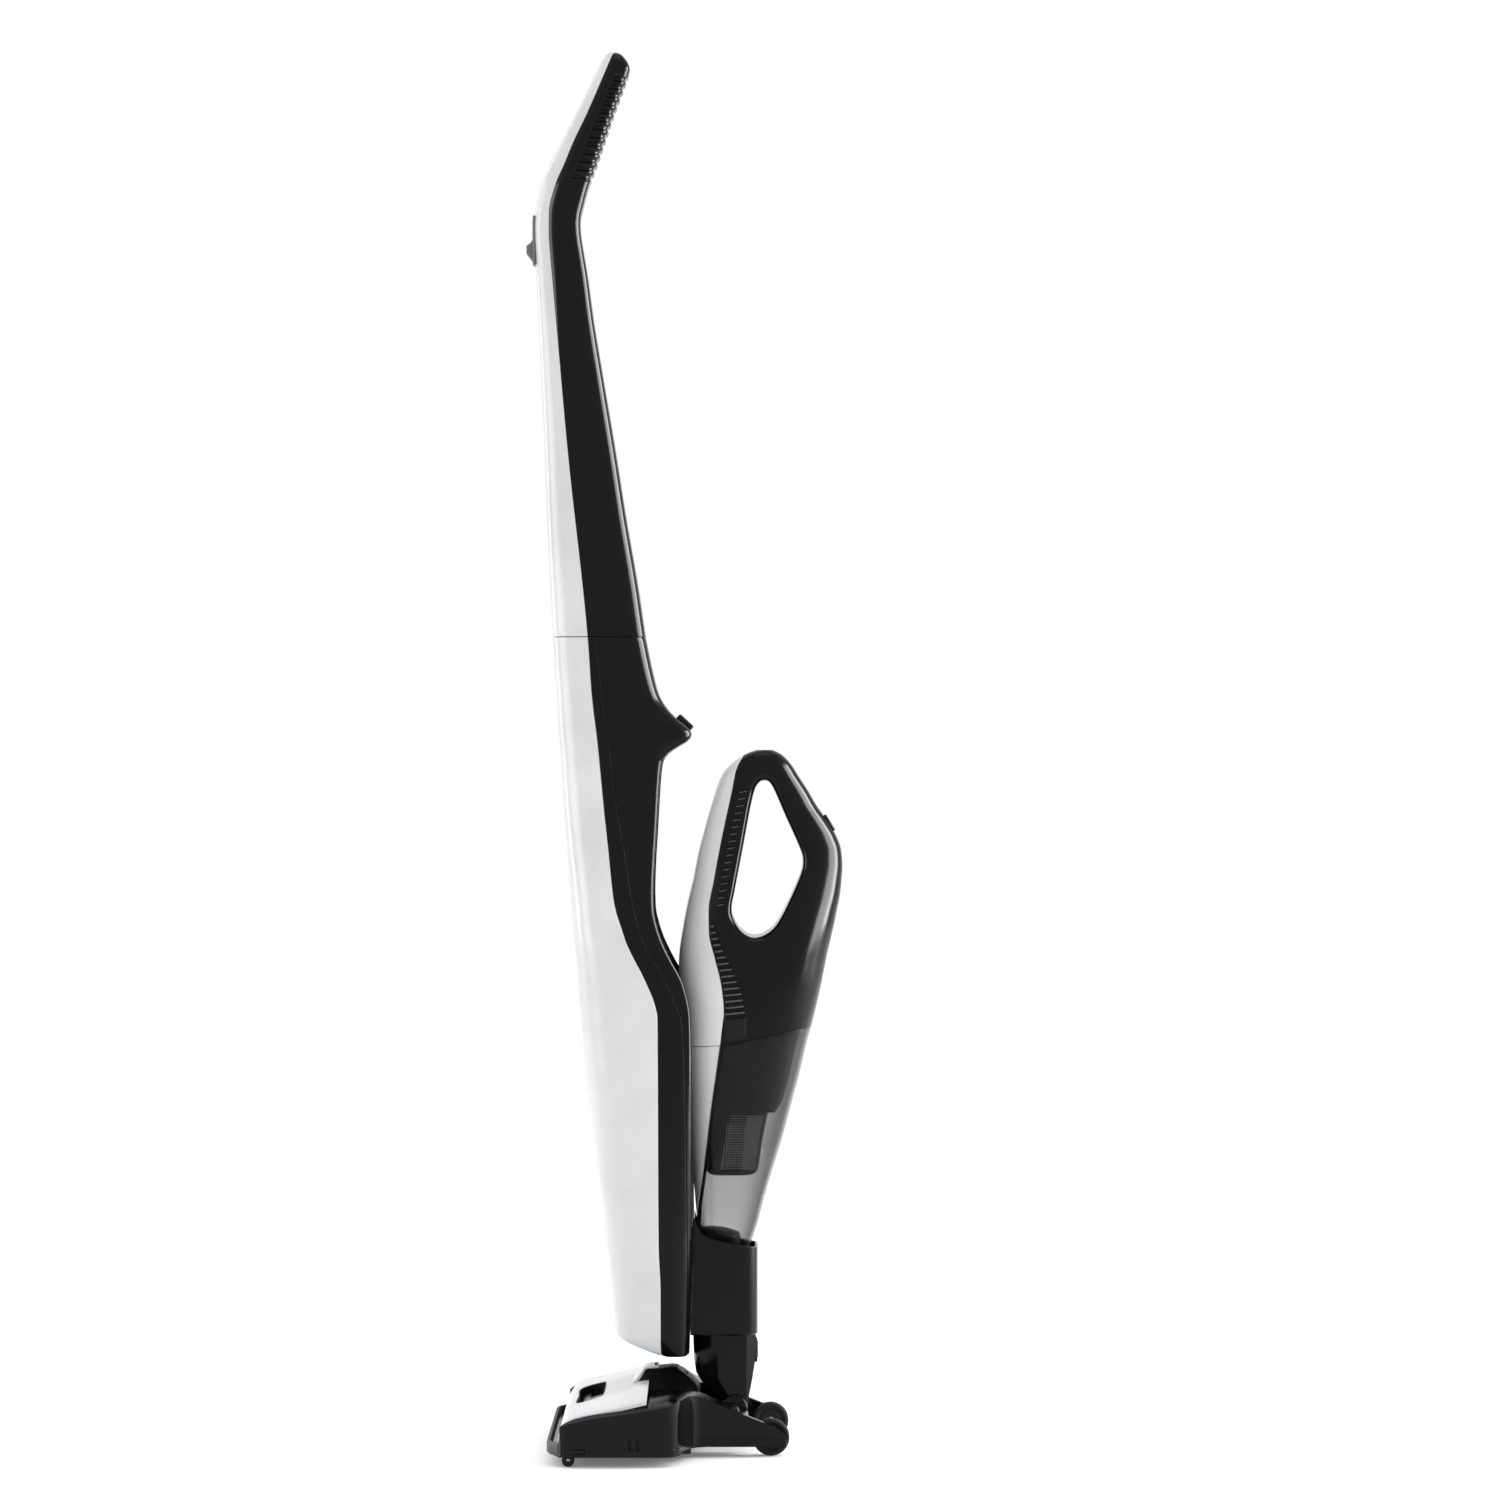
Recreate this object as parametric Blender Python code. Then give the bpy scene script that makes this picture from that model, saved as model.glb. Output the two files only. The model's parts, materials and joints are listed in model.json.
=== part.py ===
"""Cordless stick vacuum with a removable hand vacuum.

Frame: +Z up, floor at Z = 0, the cleaner's front faces -X, and it is symmetric about Y = 0.
Sizes are in millimetres here and become Blender's metres in to_metres().
"""
import math

import bmesh
import bpy
from mathutils import Matrix, Vector

# ---- driving dimensions, millimetres and degrees ----
GAP = 0.3                  # between neighbouring pieces
WALL = 2.4                 # moulded shells
HAND_WALL = 2.2            # hand vacuum's shells
FAR = 260.0                # past every side, for cutters
STICK_WIDTH = 108.0        # lower body, across
HANDLE_WIDTH = 56.0        # handle at its lower seam, across
HANDLE_STRAIGHT = 289.0    # seam to the handle's bend
BODY_BOTTOM = 76.0
BODY_TOP = 647.0           # seam between lower body and handle
HAND_WIDTH = 88.0          # hand vacuum, across
TROUGH_CLEARANCE = 3.0     # hand vacuum to the trough's sides
HAND_FOOT = 156.0          # underside of the nozzle base
HAND_LEAN = 7.0            # lean of the hand vacuum's axis
CUP_WIDTH = 62.0
CUP_BOTTOM = 92.0
CUP_TOP = 162.0
CUP_REAR = 58.8
CUP_DUCT_RADIUS = 14.0
CUP_CORNER = 12.0
DRUM_RADIUS = 16.0         # rocking seal in the cup
DRUM_X, DRUM_Z = 30.0, 146.0
SWIVEL_X = 31.0
COLLAR_RADIUS = 25.2
PIVOT_X, PIVOT_Z = 40.0, 34.0
BARREL_RADIUS = 10.5
BARREL_HALF = 30.0
HEAD_WIDTH = 245.0
HEAD_BOTTOM = 8.0
WHEEL_RADIUS = 14.5
WHEEL_WIDTH = 10.5
WHEEL_X = 69.0
CASTOR_RADIUS = 5.0
CASTOR_WIDTH = 8.0
CASTOR_X = -89.0
PIN_RADIUS = 4.0           # head hinge pins
AXLE_RADIUS = 3.0
DUCT_RADIUS = 9.4          # suction duct in the head's hump
DUCT_Z = 51.0
BRUSH_X, BRUSH_Z = -67.0, 21.5
BRUSH_CORE_RADIUS = 10.0
BRISTLE_RADIUS = 16.5
BRUSH_HALF = 104.0
CORE_LEFT = 84.0           # brush core's end on the belt side
SHAFT_RADIUS = 4.0
MOTOR_LENGTH = 48.0
MOTOR_X, MOTOR_Z = -22.0, 26.0
MOTOR_RADIUS = 11.5
PULLEY_RADIUS = 4.5        # motor pulley
BRUSH_PULLEY_RADIUS = 9.0
BELT_THICKNESS = 1.6
NOSE_LIP = 6.0             # X of the nose's tip
SWITCH_LENGTH = 40.0       # thumb switch's bezel
SWITCH_HALF = 10.0
BUTTON_DEPTH = 8.0         # nose button
SCREW_RADIUS = 2.6
SCREW_DROP = 15.0          # handle screw below the seam
JOINT_OVERLAP = 32.0       # joint sleeve into each half of the stick
WIRE_RADIUS = 2.2
LATCH_Z = 77.5             # spring latch on the neck

HALF_HEAD = HEAD_WIDTH / 2

WHITE = ("gloss_white", (0.86, 0.86, 0.87), 0.25, 0.0)
BLACK = ("gloss_black", (0.012, 0.012, 0.014), 0.22, 0.0)
MATTE = ("matte_black", (0.02, 0.02, 0.022), 0.6, 0.0)
GREY = ("switch_grey", (0.22, 0.22, 0.23), 0.45, 0.0)
RUBBER = ("rubber", (0.015, 0.015, 0.015), 0.8, 0.0)
SMOKE = ("smoke_clear", (0.12, 0.12, 0.13), 0.08, 0.0)
STEEL = ("steel", (0.6, 0.6, 0.62), 0.3, 1.0)
COPPER = ("motor_can", (0.45, 0.45, 0.47), 0.35, 1.0)
BOARD = ("circuit_board", (0.02, 0.16, 0.07), 0.5, 0.0)
CELL = ("battery_wrap", (0.03, 0.12, 0.35), 0.4, 0.0)
BRISTLE = ("bristle", (0.05, 0.05, 0.06), 0.9, 0.0)
PAPER = ("filter_paper", (0.75, 0.74, 0.70), 0.9, 0.0)
MESH_GREY = ("filter_mesh", (0.18, 0.18, 0.19), 0.5, 0.0)


# ---- scene and naming helpers ----
def clear_scene():
    for item in list(bpy.data.objects):
        bpy.data.objects.remove(item, do_unlink=True)


def collection(name):
    made = bpy.data.collections.new(name)
    bpy.context.scene.collection.children.link(made)
    return made


clear_scene()
PARTS = collection("cordless_stick_vacuum")
CUTTERS = collection("cutters")


def material(finish):
    name, colour, roughness, metallic = finish
    made = bpy.data.materials.get(name)
    if made is None:
        made = bpy.data.materials.new(name)
        made.use_nodes = True
        shader = made.node_tree.nodes["Principled BSDF"]
        shader.inputs["Base Color"].default_value = (*colour, 1.0)
        shader.inputs["Roughness"].default_value = roughness
        shader.inputs["Metallic"].default_value = metallic
    return made


def to_metres(bm):
    bmesh.ops.scale(bm, vec=(0.001, 0.001, 0.001), verts=bm.verts)


def make_object(name, bm, group):
    bmesh.ops.recalc_face_normals(bm, faces=bm.faces)
    to_metres(bm)
    mesh = bpy.data.meshes.new(name)
    bm.to_mesh(mesh)
    bm.free()
    made = bpy.data.objects.new(name, mesh)
    group.objects.link(made)
    return made


def part(name, bm, finish):
    made = make_object(name, bm, PARTS)
    made.data.materials.append(material(finish))
    return made


def cutter(bm):
    made = make_object("cutter_%02d" % len(CUTTERS.objects), bm, CUTTERS)
    made.hide_render = True
    made.display_type = "WIRE"
    return made


def boolean(target, tool, operation="DIFFERENCE"):
    step = target.modifiers.new(operation.lower(), "BOOLEAN")
    step.operation = operation
    step.solver = "EXACT"
    step.object = tool
    return target


def cut(target, *tools):
    for tool in tools:
        boolean(target, cutter(tool))
    return target


def join(target, *tools):
    for tool in tools:
        boolean(target, cutter(tool), "UNION")
    return target


# ---- solids, as bmeshes in millimetres ----
def loft(rings, closed=False):
    """Skin between rings of equal count; closed joins the last ring to the first."""
    bm = bmesh.new()
    rows = [[bm.verts.new(point) for point in ring] for ring in rings]
    pairs = list(zip(rows, rows[1:]))
    if closed:
        pairs.append((rows[-1], rows[0]))
    for low, high in pairs:
        count = len(low)
        for i in range(count):
            j = (i + 1) % count
            bm.faces.new((low[i], low[j], high[j], high[i]))
    if not closed:
        bm.faces.new(rows[0][::-1])
        bm.faces.new(rows[-1])
    return bm


def prism(outline, low, high, axis="Y"):
    """Outline pushed along an axis: (x, z) points along Y, or (x, y) points along Z."""
    def at(point, depth):
        if axis == "Y":
            return (point[0], depth, point[1])
        return (point[0], point[1], depth)
    return loft([[at(p, low) for p in outline], [at(p, high) for p in outline]])


def turn_to(axis):
    return Vector((0, 0, 1)).rotation_difference(Vector(axis).normalized()).to_matrix().to_4x4()


def cylinder(radius, length, centre, axis=(0, 0, 1), segments=24, radius_top=None):
    bm = bmesh.new()
    top = radius if radius_top is None else radius_top
    bmesh.ops.create_cone(bm, cap_ends=True, segments=segments, radius1=radius, radius2=top, depth=length)
    bmesh.ops.transform(bm, matrix=Matrix.Translation(centre) @ turn_to(axis), verts=bm.verts)
    return bm


def box(size, centre, lean=0.0, bevel=0.0):
    """Box turned by lean degrees about Y."""
    bm = bmesh.new()
    bmesh.ops.create_cube(bm, size=1.0)
    bmesh.ops.scale(bm, vec=size, verts=bm.verts)
    if bevel:
        bmesh.ops.bevel(bm, geom=bm.edges, offset=bevel, segments=2, affect="EDGES", profile=0.5)
    turn = Matrix.Rotation(math.radians(lean), 4, "Y")
    bmesh.ops.transform(bm, matrix=Matrix.Translation(centre) @ turn, verts=bm.verts)
    return bm


def circle(radius, count=24):
    return [(radius * math.cos(math.tau * i / count), radius * math.sin(math.tau * i / count))
            for i in range(count)]


def sleeve(outer, inner, length, centre, axis=(0, 0, 1), segments=24):
    """Ring or pipe, one closed body with a through hole."""
    def ring(radius, height):
        return [(x, y, height) for x, y in circle(radius, segments)]
    half = length / 2
    bm = loft([ring(outer, -half), ring(outer, half), ring(inner, half), ring(inner, -half)], closed=True)
    bmesh.ops.transform(bm, matrix=Matrix.Translation(centre) @ turn_to(axis), verts=bm.verts)
    return bm


def arc(cx, cy, rx, ry, start, end, steps, power=2.0):
    """Superellipse arc, angles in degrees, both ends included."""
    points = []
    for i in range(steps + 1):
        angle = math.radians(start + (end - start) * i / steps)
        c, s = math.cos(angle), math.sin(angle)
        x = math.copysign(abs(c) ** (2 / power), c) if abs(c) > 1e-9 else 0.0
        y = math.copysign(abs(s) ** (2 / power), s) if abs(s) > 1e-9 else 0.0
        points.append((cx + rx * x, cy + ry * y))
    return points


def at_height(rows, z):
    """Row read between two stations."""
    for low, high in zip(rows, rows[1:]):
        if low[0] <= z <= high[0]:
            share = (z - low[0]) / (high[0] - low[0])
            return tuple(a + (b - a) * share for a, b in zip(low, high))
    return rows[0] if z < rows[0][0] else rows[-1]


def between(rows, low, high):
    inner = [row for row in rows if low + 0.5 < row[0] < high - 0.5]
    return [at_height(rows, low)] + inner + [at_height(rows, high)]


# ---- stick: side profile, bottom to top ----
# height, front x, rear x, half width, trough half width, trough depth
HALF_STICK = STICK_WIDTH / 2
HALF_HANDLE = HANDLE_WIDTH / 2
HALF_HAND = HAND_WIDTH / 2
LIP = HALF_HAND + TROUGH_CLEARANCE + 1.0


def body_rows():
    w = HALF_STICK
    h = HALF_HANDLE
    return [
        (BODY_BOTTOM, -19, 3.2, w - 14, 16, 0), (77.5, -25, 4.3, w - 10.5, 18, 0),
        (82, -38, 4.5, w - 8, 20, 0), (87.5, -50, 4.6, w - 6, 22, 0), (92.5, -55, 4.8, w - 5, 24, 0),
        (129, -59.6, 6.2, w - 3, 26, 0),
        (160, -63, 7.4, w - 2, 28, 0), (170, -64.2, 7.5, w - 1.7, 28.5, 3.5),
        (196, -67, 7.2, w - 1, LIP - 14, 11), (222, -70, 7.0, w - 0.5, LIP - 10, 17),
        (268, -75, 6.4, w, LIP - 4.5, 28.5), (311, -79.4, 6.1, w, LIP - 1, 40),
        (346, -82.8, 5.2, w, LIP, 47.5), (370, -85, 0.4, w, LIP, 47.5),
        (394, -86.9, -11.6, w - 1, LIP - 1, 37.5), (406, -88.4, -17.2, w - 2, LIP - 2, 32.5),
        (418, -89.2, -21.2, w - 3.5, LIP - 3.5, 28.3), (430, -90, -23.6, w - 5, LIP - 5.5, 25.8),
        (443, -90.8, -23.6, w - 7.5, LIP - 8.5, 24.8), (467, -93.2, -23.2, w - 13, LIP - 14, 24.5),
        (492, -95, -21.6, w - 17.5, LIP - 19, 24.2), (517, -96.8, -20.2, w - 20, LIP - 22, 22.5),
        (532, -97.8, -19.2, w - 20.7, LIP - 23, 19.8), (545, -98.4, -17.8, w - 21, LIP - 24, 13.8),
        (551, -98.8, -15.6, w - 21.2, LIP - 26, 3), (558, -99.3, -7, h + 4.5, 16, 0),
        (564, -99.8, NOSE_LIP - 3.2, h + 4, 15, 0), (571, -100.3, NOSE_LIP, h + 3.5, 14, 0),
        (584, -101.2, -8, h + 3, 13, 0), (592, -101.7, -15, h + 2.5, 12, 0),
        (602, -102.2, -20.4, h + 2, 11, 0), (620, -103.6, -25.2, h + 1.2, 10, 0),
        (BODY_TOP, -105, -30.8, h, 8, 0),
    ]


BEND = BODY_TOP + HANDLE_STRAIGHT


def handle_rows():
    h = HALF_HANDLE
    straight = [(-107.6, -37.2, 1), (-110.2, -46.4, 2.5), (-112, -54.8, 4), (-114.4, -63.6, 5.6),
                (-117, -72.4, 7.4)]
    rows = [(BODY_TOP, -105, -30.8, h, 8, 0)]
    for i, (front, rear, taper) in enumerate(straight):
        rows.append((BODY_TOP + HANDLE_STRAIGHT * (0.15 + 0.182 * i), front, rear, h - taper, 7, 0))
    bend = [(0, -118.9, -77.2, 8.6), (18, -120, -80.2, 9.2), (35, -121, -82.8, 9.6), (44, -121, -82.8, 9.7),
            (53, -119.6, -81.2, 9.8), (71, -115.4, -76.4, 10.2), (88, -108.6, -70, 10.5),
            (106, -99.2, -63.8, 10.8), (124, -90, -57.8, 11.2), (141, -81.4, -51.6, 11.8),
            (159, -73, -45.2, 12.8), (166, -69.5, -43.6, 13.6), (172, -66, -46, 15.5),
            (176, -62.8, -50, 18.5), (178, -60, -53.5, 22)]
    for rise, front, rear, taper in bend:
        rows.append((BEND + rise, front, rear, h - taper, 5, 0))
    return rows


BODY_SPLIT = [(60, -18), (129, -18), (165, -19.5), (345, -20.4), (357, -22.8), (369, -27.6), (381, -33.2),
              (393, -39.6), (405, -45.2), (417, -49.2), (429, -53.2), (441, -55.6), (477, -59.6),
              (513, -63.6), (558, -68), (602, -73.2), (BODY_TOP, -76.4)]
HANDLE_SPLIT = ([(BODY_TOP, -76.4), (BODY_TOP + HANDLE_STRAIGHT * 0.51, -92.4),
                 (BODY_TOP + HANDLE_STRAIGHT * 0.88, -102)]
                + [(BEND + rise, x) for rise, x in [(0, -105.2), (18, -106.8), (35, -107.8), (50, -107.6),
                                                    (71, -102.8), (88, -95.6), (106, -88.2), (124, -79.6),
                                                    (141, -72), (159, -64.4), (185, -52)]])


def flat_run(x, half, steps):
    return [(x, -half + 2 * half * i / steps) for i in range(1, steps)]


def trough_run(x, half, depth, steps):
    """Concave run from -half to +half, floor depth ahead of x."""
    points = []
    for i in range(1, steps):
        angle = math.pi * i / steps
        side = -math.cos(angle)
        points.append((x - depth * math.sin(angle) ** (2 / 2.6),
                       half * math.copysign(abs(side) ** (2 / 2.6), side)))
    return points


def stick_section(row, inset=0.0):
    z, front, rear, half, lip, depth = row
    front, rear, half = front + inset, rear - inset, half - inset
    lip = min(lip + inset, half - 0.6)
    middle = front + 0.45 * (rear - front)
    ring = arc(middle, 0, middle - front, half, 90, 270, 12, 2.5)
    ring += arc(middle, -lip, rear - middle, half - lip, 270, 360, 4, 3.2)[1:]
    ring += trough_run(rear, lip, depth, 8) if depth else flat_run(rear, lip, 8)
    ring += arc(middle, lip, rear - middle, half - lip, 0, 90, 4, 3.2)[:-1]
    return [(x, y, z) for x, y in ring]


def front_region(split, low, high, offset):
    """Everything ahead of the split line, as an outline in XZ."""
    levels = [low] + [row[0] for row in split if low < row[0] < high] + [high]
    line = [(at_height(split, z)[1] - offset, z) for z in levels]
    return [(-FAR, low)] + line + [(-FAR, high)]


def rear_region(split, low, high, offset):
    """Everything behind the split line, as an outline in XZ."""
    levels = [low] + [row[0] for row in split if low < row[0] < high] + [high]
    line = [(at_height(split, z)[1] + offset, z) for z in levels]
    return [(FAR, low)] + line + [(FAR, high)]


def shell_pair(names, rows, split, hollow, finishes, reach):
    """Front and rear shells of one hollow form, parted along the split line.

    The rear shell keeps the trough's wall where it reaches in ahead of the split."""
    low, high = rows[0][0] - 5, rows[-1][0] + 5
    flat = [(*row[:5], 0) for row in rows]
    inside = between(rows, *hollow)
    flat_inside = between(flat, *hollow)
    front = part(names[0], loft([stick_section(row) for row in flat]), finishes[0])
    cut(front, loft([stick_section(row, WALL) for row in flat_inside]))
    boolean(front, cutter(prism(front_region(split, low, high, GAP / 2), -reach, reach)), "INTERSECT")
    rear = part(names[1], loft([stick_section(row) for row in rows]), finishes[1])
    cut(rear, loft([stick_section(row, WALL) for row in inside]))
    skin = cutter(prism(front_region(split, low, high, -GAP / 2), -reach, reach))
    cut(skin, loft([stick_section(row, WALL + GAP) for row in flat_inside]))
    boolean(rear, skin)
    return front, rear


BODY = body_rows()
HANDLE = handle_rows()


def build_stick():
    trimmed = between(BODY, BODY_BOTTOM, BODY_TOP - GAP / 2)
    front, rear = shell_pair(("body_front_shell", "body_rear_shell"), trimmed, BODY_SPLIT,
                             (BODY_BOTTOM + 6, BODY_TOP + 3), (WHITE, BLACK), 80)
    upper = between(HANDLE, BODY_TOP + GAP / 2, HANDLE[-1][0])
    grip_front, grip_rear = shell_pair(("handle_front_shell", "handle_rear_shell"), upper, HANDLE_SPLIT,
                                       (BODY_TOP - 3, BEND + 159), (WHITE, BLACK), 60)
    return front, rear, grip_front, grip_rear


def build_joint(body_rear):
    """Sleeve inside both halves of the stick, held by one screw from behind."""
    rows = between(BODY, BODY_TOP - JOINT_OVERLAP, BODY_TOP - 1)
    rows += between(HANDLE, BODY_TOP + 1, BODY_TOP + JOINT_OVERLAP)
    outer = [stick_section(row, WALL + GAP) for row in rows]
    inner = [stick_section(row, WALL + GAP + 2.0) for row in rows]
    joint = part("joint_sleeve", loft(outer + inner[::-1], closed=True), MATTE)
    screw_z = BODY_TOP - SCREW_DROP
    skin = at_height(BODY, screw_z)[2]
    for target in (joint, body_rear):
        cut(target, cylinder(SCREW_RADIUS + GAP, 20, (skin - 5, 0, screw_z), (1, 0, 0), 16))
    part("handle_screw", cylinder(SCREW_RADIUS, 9, (skin - 6, 0, screw_z), (1, 0, 0), 16), STEEL)


def loom_path():
    top = BEND - 12
    return [(-52, 306), (-60, 345), (-68, 385), (-70.5, 440), (-73, 500), (-79, 570), (-86, BODY_TOP),
            (-91, BODY_TOP + HANDLE_STRAIGHT * 0.35), (-98, BODY_TOP + HANDLE_STRAIGHT * 0.7), (-105, top)]


def build_loom():
    data = bpy.data.curves.new("wire_loom", "CURVE")
    data.dimensions = "3D"
    data.bevel_depth = WIRE_RADIUS / 1000
    data.bevel_resolution = 2
    data.use_fill_caps = True
    path = loom_path()
    wire = data.splines.new("POLY")
    wire.points.add(len(path) - 1)
    for point, (x, z) in zip(wire.points, path):
        point.co = (x / 1000, 0, z / 1000, 1)
    loom = bpy.data.objects.new("wire_loom", data)
    PARTS.objects.link(loom)
    data.materials.append(material(RUBBER))


def build_internals():
    part("battery_pack", box((40, STICK_WIDTH - 34, 60), (-27, 0, CUP_BOTTOM + 42), 0, 3), CELL)
    part("control_board", box((1.6, 56, 96), (-52, 0, 254), 0), BOARD)


def nose_frame():
    """Middle and lean of the sloped top of the nose."""
    upper, lower = at_height(BODY, 584), at_height(BODY, 571)
    run = Vector((lower[2] - upper[2], 0, -13.0))
    middle = Vector(((upper[2] + lower[2]) / 2, 0, 577.5))
    normal = Vector((13.0, 0, run.x)).normalized()
    return middle, normal


def build_release(rear):
    middle, normal = nose_frame()
    lean = math.degrees(math.atan2(normal.x, normal.z))
    seat = middle - normal * 3.0
    cut(rear, box((15 + 2 * GAP, 21 + 2 * GAP, 2 * BUTTON_DEPTH), tuple(seat), lean))
    face = box((15, 21, BUTTON_DEPTH), tuple(middle + normal * 0.6), lean, 1.2)
    part("release_button", face, MATTE)


def build_switch(front):
    """Slide switch on the handle's front, in a shallow bezel."""
    middle = BEND + 28
    row = at_height(HANDLE, middle)
    face = min(at_height(HANDLE, middle + 18)[1], row[1]) + 0.2
    half = SWITCH_LENGTH / 2
    pocket = 4.0
    bezel = pocket - GAP
    cut(front, box((2 * pocket, 2 * SWITCH_HALF + 2 * GAP, SWITCH_LENGTH + 2 * GAP), (face, 0, middle)))
    spot = (face + bezel / 2 - 0.6, 0, middle)
    part("switch_bezel", box((bezel, 2 * SWITCH_HALF, SWITCH_LENGTH), spot, 0, 0.6), GREY)
    low = middle - half + 3
    outline = [(face - 1.0, low), (face - 2.6, low), (face - 5.8, low + 5), (face - 5.8, low + 9),
               (face - 2.6, low + 15), (face - 1.0, low + 16)]
    part("slide_switch", prism(outline, 2 - SWITCH_HALF, SWITCH_HALF - 2), GREY)
    part("switch_board", box((1.6, 14, 34), (face + 8.8, 0, middle), 0), BOARD)


# ---- cradle cup with its rocking seal ----
def build_cup():
    half = CUP_WIDTH / 2
    rows = []
    for z in (CUP_BOTTOM, CUP_BOTTOM + 2, 129, CUP_TOP - 2, 186):
        tuck = 1.5 if z == CUP_BOTTOM else 0.0
        front = at_height(BODY, z)[2] + GAP
        rear = CUP_REAR - tuck
        turn, centre = CUP_CORNER - tuck, (rear - CUP_CORNER, half - CUP_CORNER)
        ring = [(front, half - tuck)] + arc(centre[0], centre[1], turn, turn, 90, 0, 5)
        ring += arc(centre[0], -centre[1], turn, turn, 0, -90, 5) + [(front, tuck - half)]
        rows.append([(x, y, z) for x, y in ring])
    cup = part("cradle_cup", loft(rows), BLACK)
    rim = [(70, 161.5), (57, 161.8), (45, 163.4), (36, 165.4), (24.5, 168), (15, 172.5), (10.5, 179),
           (8.2, 188), (8.2, 200), (70, 200)]
    ahead, behind = DRUM_X - DRUM_RADIUS - 1.45, CUP_REAR - 5.45
    floor = DRUM_Z - DRUM_RADIUS - 0.5
    inner = box((behind - ahead, CUP_WIDTH - 6, 80), ((ahead + behind) / 2, 0, floor + 40))
    throat = box((10, CUP_WIDTH - 6, 54), (11, 0, 177))
    duct = cylinder(CUP_DUCT_RADIUS, 60, (SWIVEL_X, 0, CUP_BOTTOM + 20))
    cut(cup, prism(rim, -50, 50), inner, throat, duct)
    return cup


def lean_vector():
    lean = math.radians(HAND_LEAN)
    return Vector((math.sin(lean), 0, math.cos(lean)))


def build_seal():
    drum = part("nozzle_seal", cylinder(DRUM_RADIUS, 46, (DRUM_X, 0, DRUM_Z), (0, 1, 0), 32), RUBBER)
    along = lean_vector()
    middle = Vector((DRUM_X, 0, DRUM_Z)) + along * 18
    hole = box((19, 30, 42), tuple(middle), HAND_LEAN)
    top = box((60, 60, 20), (DRUM_X, 0, HAND_FOOT - GAP + 10))
    cut(drum, top, hole)
    return drum


# ---- hand vacuum: side profile in its rest pose ----
# height, front x, rear x, half width
def hand_rows():
    w = HALF_HAND
    return [
        (HAND_FOOT, 15.5, 48.5, w - 26), (160, 13, 51.6, w - 24), (177, 10.6, 58, w - 20.5),
        (201, 8.4, 64.4, w - 16.5), (225, 6.3, 71.6, w - 12.5), (249, 4.3, 78.8, w - 9),
        (273, 2.3, 85.2, w - 6), (297, 0.2, 91.6, w - 3.5), (321, -2, 97.2, w - 1.7),
        (345, -3.8, 103.6, w - 0.5), (369, -5, 109.2, w), (393, -4.2, 114, w - 0.7),
        (417, -1, 119.6, w - 3.5), (429, 1.2, 122, w - 6), (441, 3.8, 124.4, w - 9),
        (453, 6.8, 125.7, w - 12.5), (465, 9.2, 126.4, w - 16), (477, 11.6, 125.4, w - 19),
        (489, 14.8, 121.2, w - 21.2), (501, 18, 114, w - 22.8), (513, 21.6, 105.6, w - 24),
        (525, 25.2, 98.6, w - 25), (537, 30, 90.8, w - 26), (549, 40.4, 82.8, w - 28),
        (554, 50, 76, w - 30.5), (557, 58, 70, w - 35),
    ]


HAND = hand_rows()
HAND_SPLIT = [(140, 8), (177, 9.2), (225, 15.6), (273, 21.6), (309, 26.8), (333, 30), (351, 31.8), (369, 30),
              (393, 24.4), (411, 20), (429, 19.6), (453, 23.6), (489, 30.4), (525, 38.2), (541, 39.4),
              (560, 47)]
SEAM = [(-20, 320.2), (30, 322.8), (100, 337), (140, 345.1)]
BIN_FLOOR = 172.0
FINGER_HOLE = [(58.8, 530.8), (64.4, 533.2), (69.4, 530), (92.4, 478), (94.2, 469), (92.6, 461), (74, 419),
               (68, 411.5), (58, 408), (48, 410.5), (41, 418), (38.2, 430), (54.6, 522)]


def hand_section(row, inset=0.0):
    z, front, rear, half = row
    front, rear, half = front + inset, rear - inset, half - inset
    middle = (front + rear) / 2
    ring = arc(middle, 0, middle - front, half, 90, 450, 28, 2.5)[:-1]
    return [(x, y, z) for x, y in ring]


def hand_piece(name, rows, region, finish, hollow):
    piece = part(name, loft([hand_section(row) for row in rows]), finish)
    if hollow:
        cut(piece, loft([hand_section(row, HAND_WALL) for row in between(HAND, *hollow)]))
    for outline in region:
        boolean(piece, cutter(prism(outline, -60, 60)), "INTERSECT")
    return piece


def build_hand():
    below = [(x, z - GAP / 2) for x, z in SEAM] + [(140, BIN_FLOOR + GAP / 2), (-20, BIN_FLOOR + GAP / 2)]
    above = [(x, z + GAP / 2) for x, z in SEAM] + [(140, 570), (-20, 570)]
    ahead = front_region(HAND_SPLIT, 140, 570, GAP / 2)
    behind = rear_region(HAND_SPLIT, 140, 570, GAP / 2)
    bin_rows = between(HAND, 165, 350)
    top_rows = between(HAND, 315, HAND[-1][0])
    hand_piece("bin_front", bin_rows, (below, ahead), WHITE, (160, 356))
    hand_piece("bin_shell", bin_rows, (below, behind), SMOKE, (160, 356))
    front = hand_piece("hand_front_shell", top_rows, (above, ahead), WHITE, (310, 403))
    rear = hand_piece("hand_rear_shell", top_rows, (above, behind), BLACK, (310, 403))
    cut(rear, prism(FINGER_HOLE, -60, 60))
    return front, rear


def along_hand(distance):
    """Point on the hand vacuum's leaning axis, at a distance above the drum's centre."""
    return Vector((DRUM_X, 0, DRUM_Z)) + lean_vector() * distance


# height, front x, rear x, half width of the filter frame
FILTER = [(218, 19, 56, HALF_HAND - 25), (245, 18, 61, HALF_HAND - 22), (271.5, 17, 66, HALF_HAND - 19)]


def frame_cup(floor):
    """Open-topped cup around the filter element."""
    outer = [hand_section(row) for row in FILTER]
    inner = [hand_section(row, HAND_WALL) for row in between(FILTER, FILTER[0][0] + floor, FILTER[-1][0])]
    return loft(outer + inner[::-1])


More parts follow.
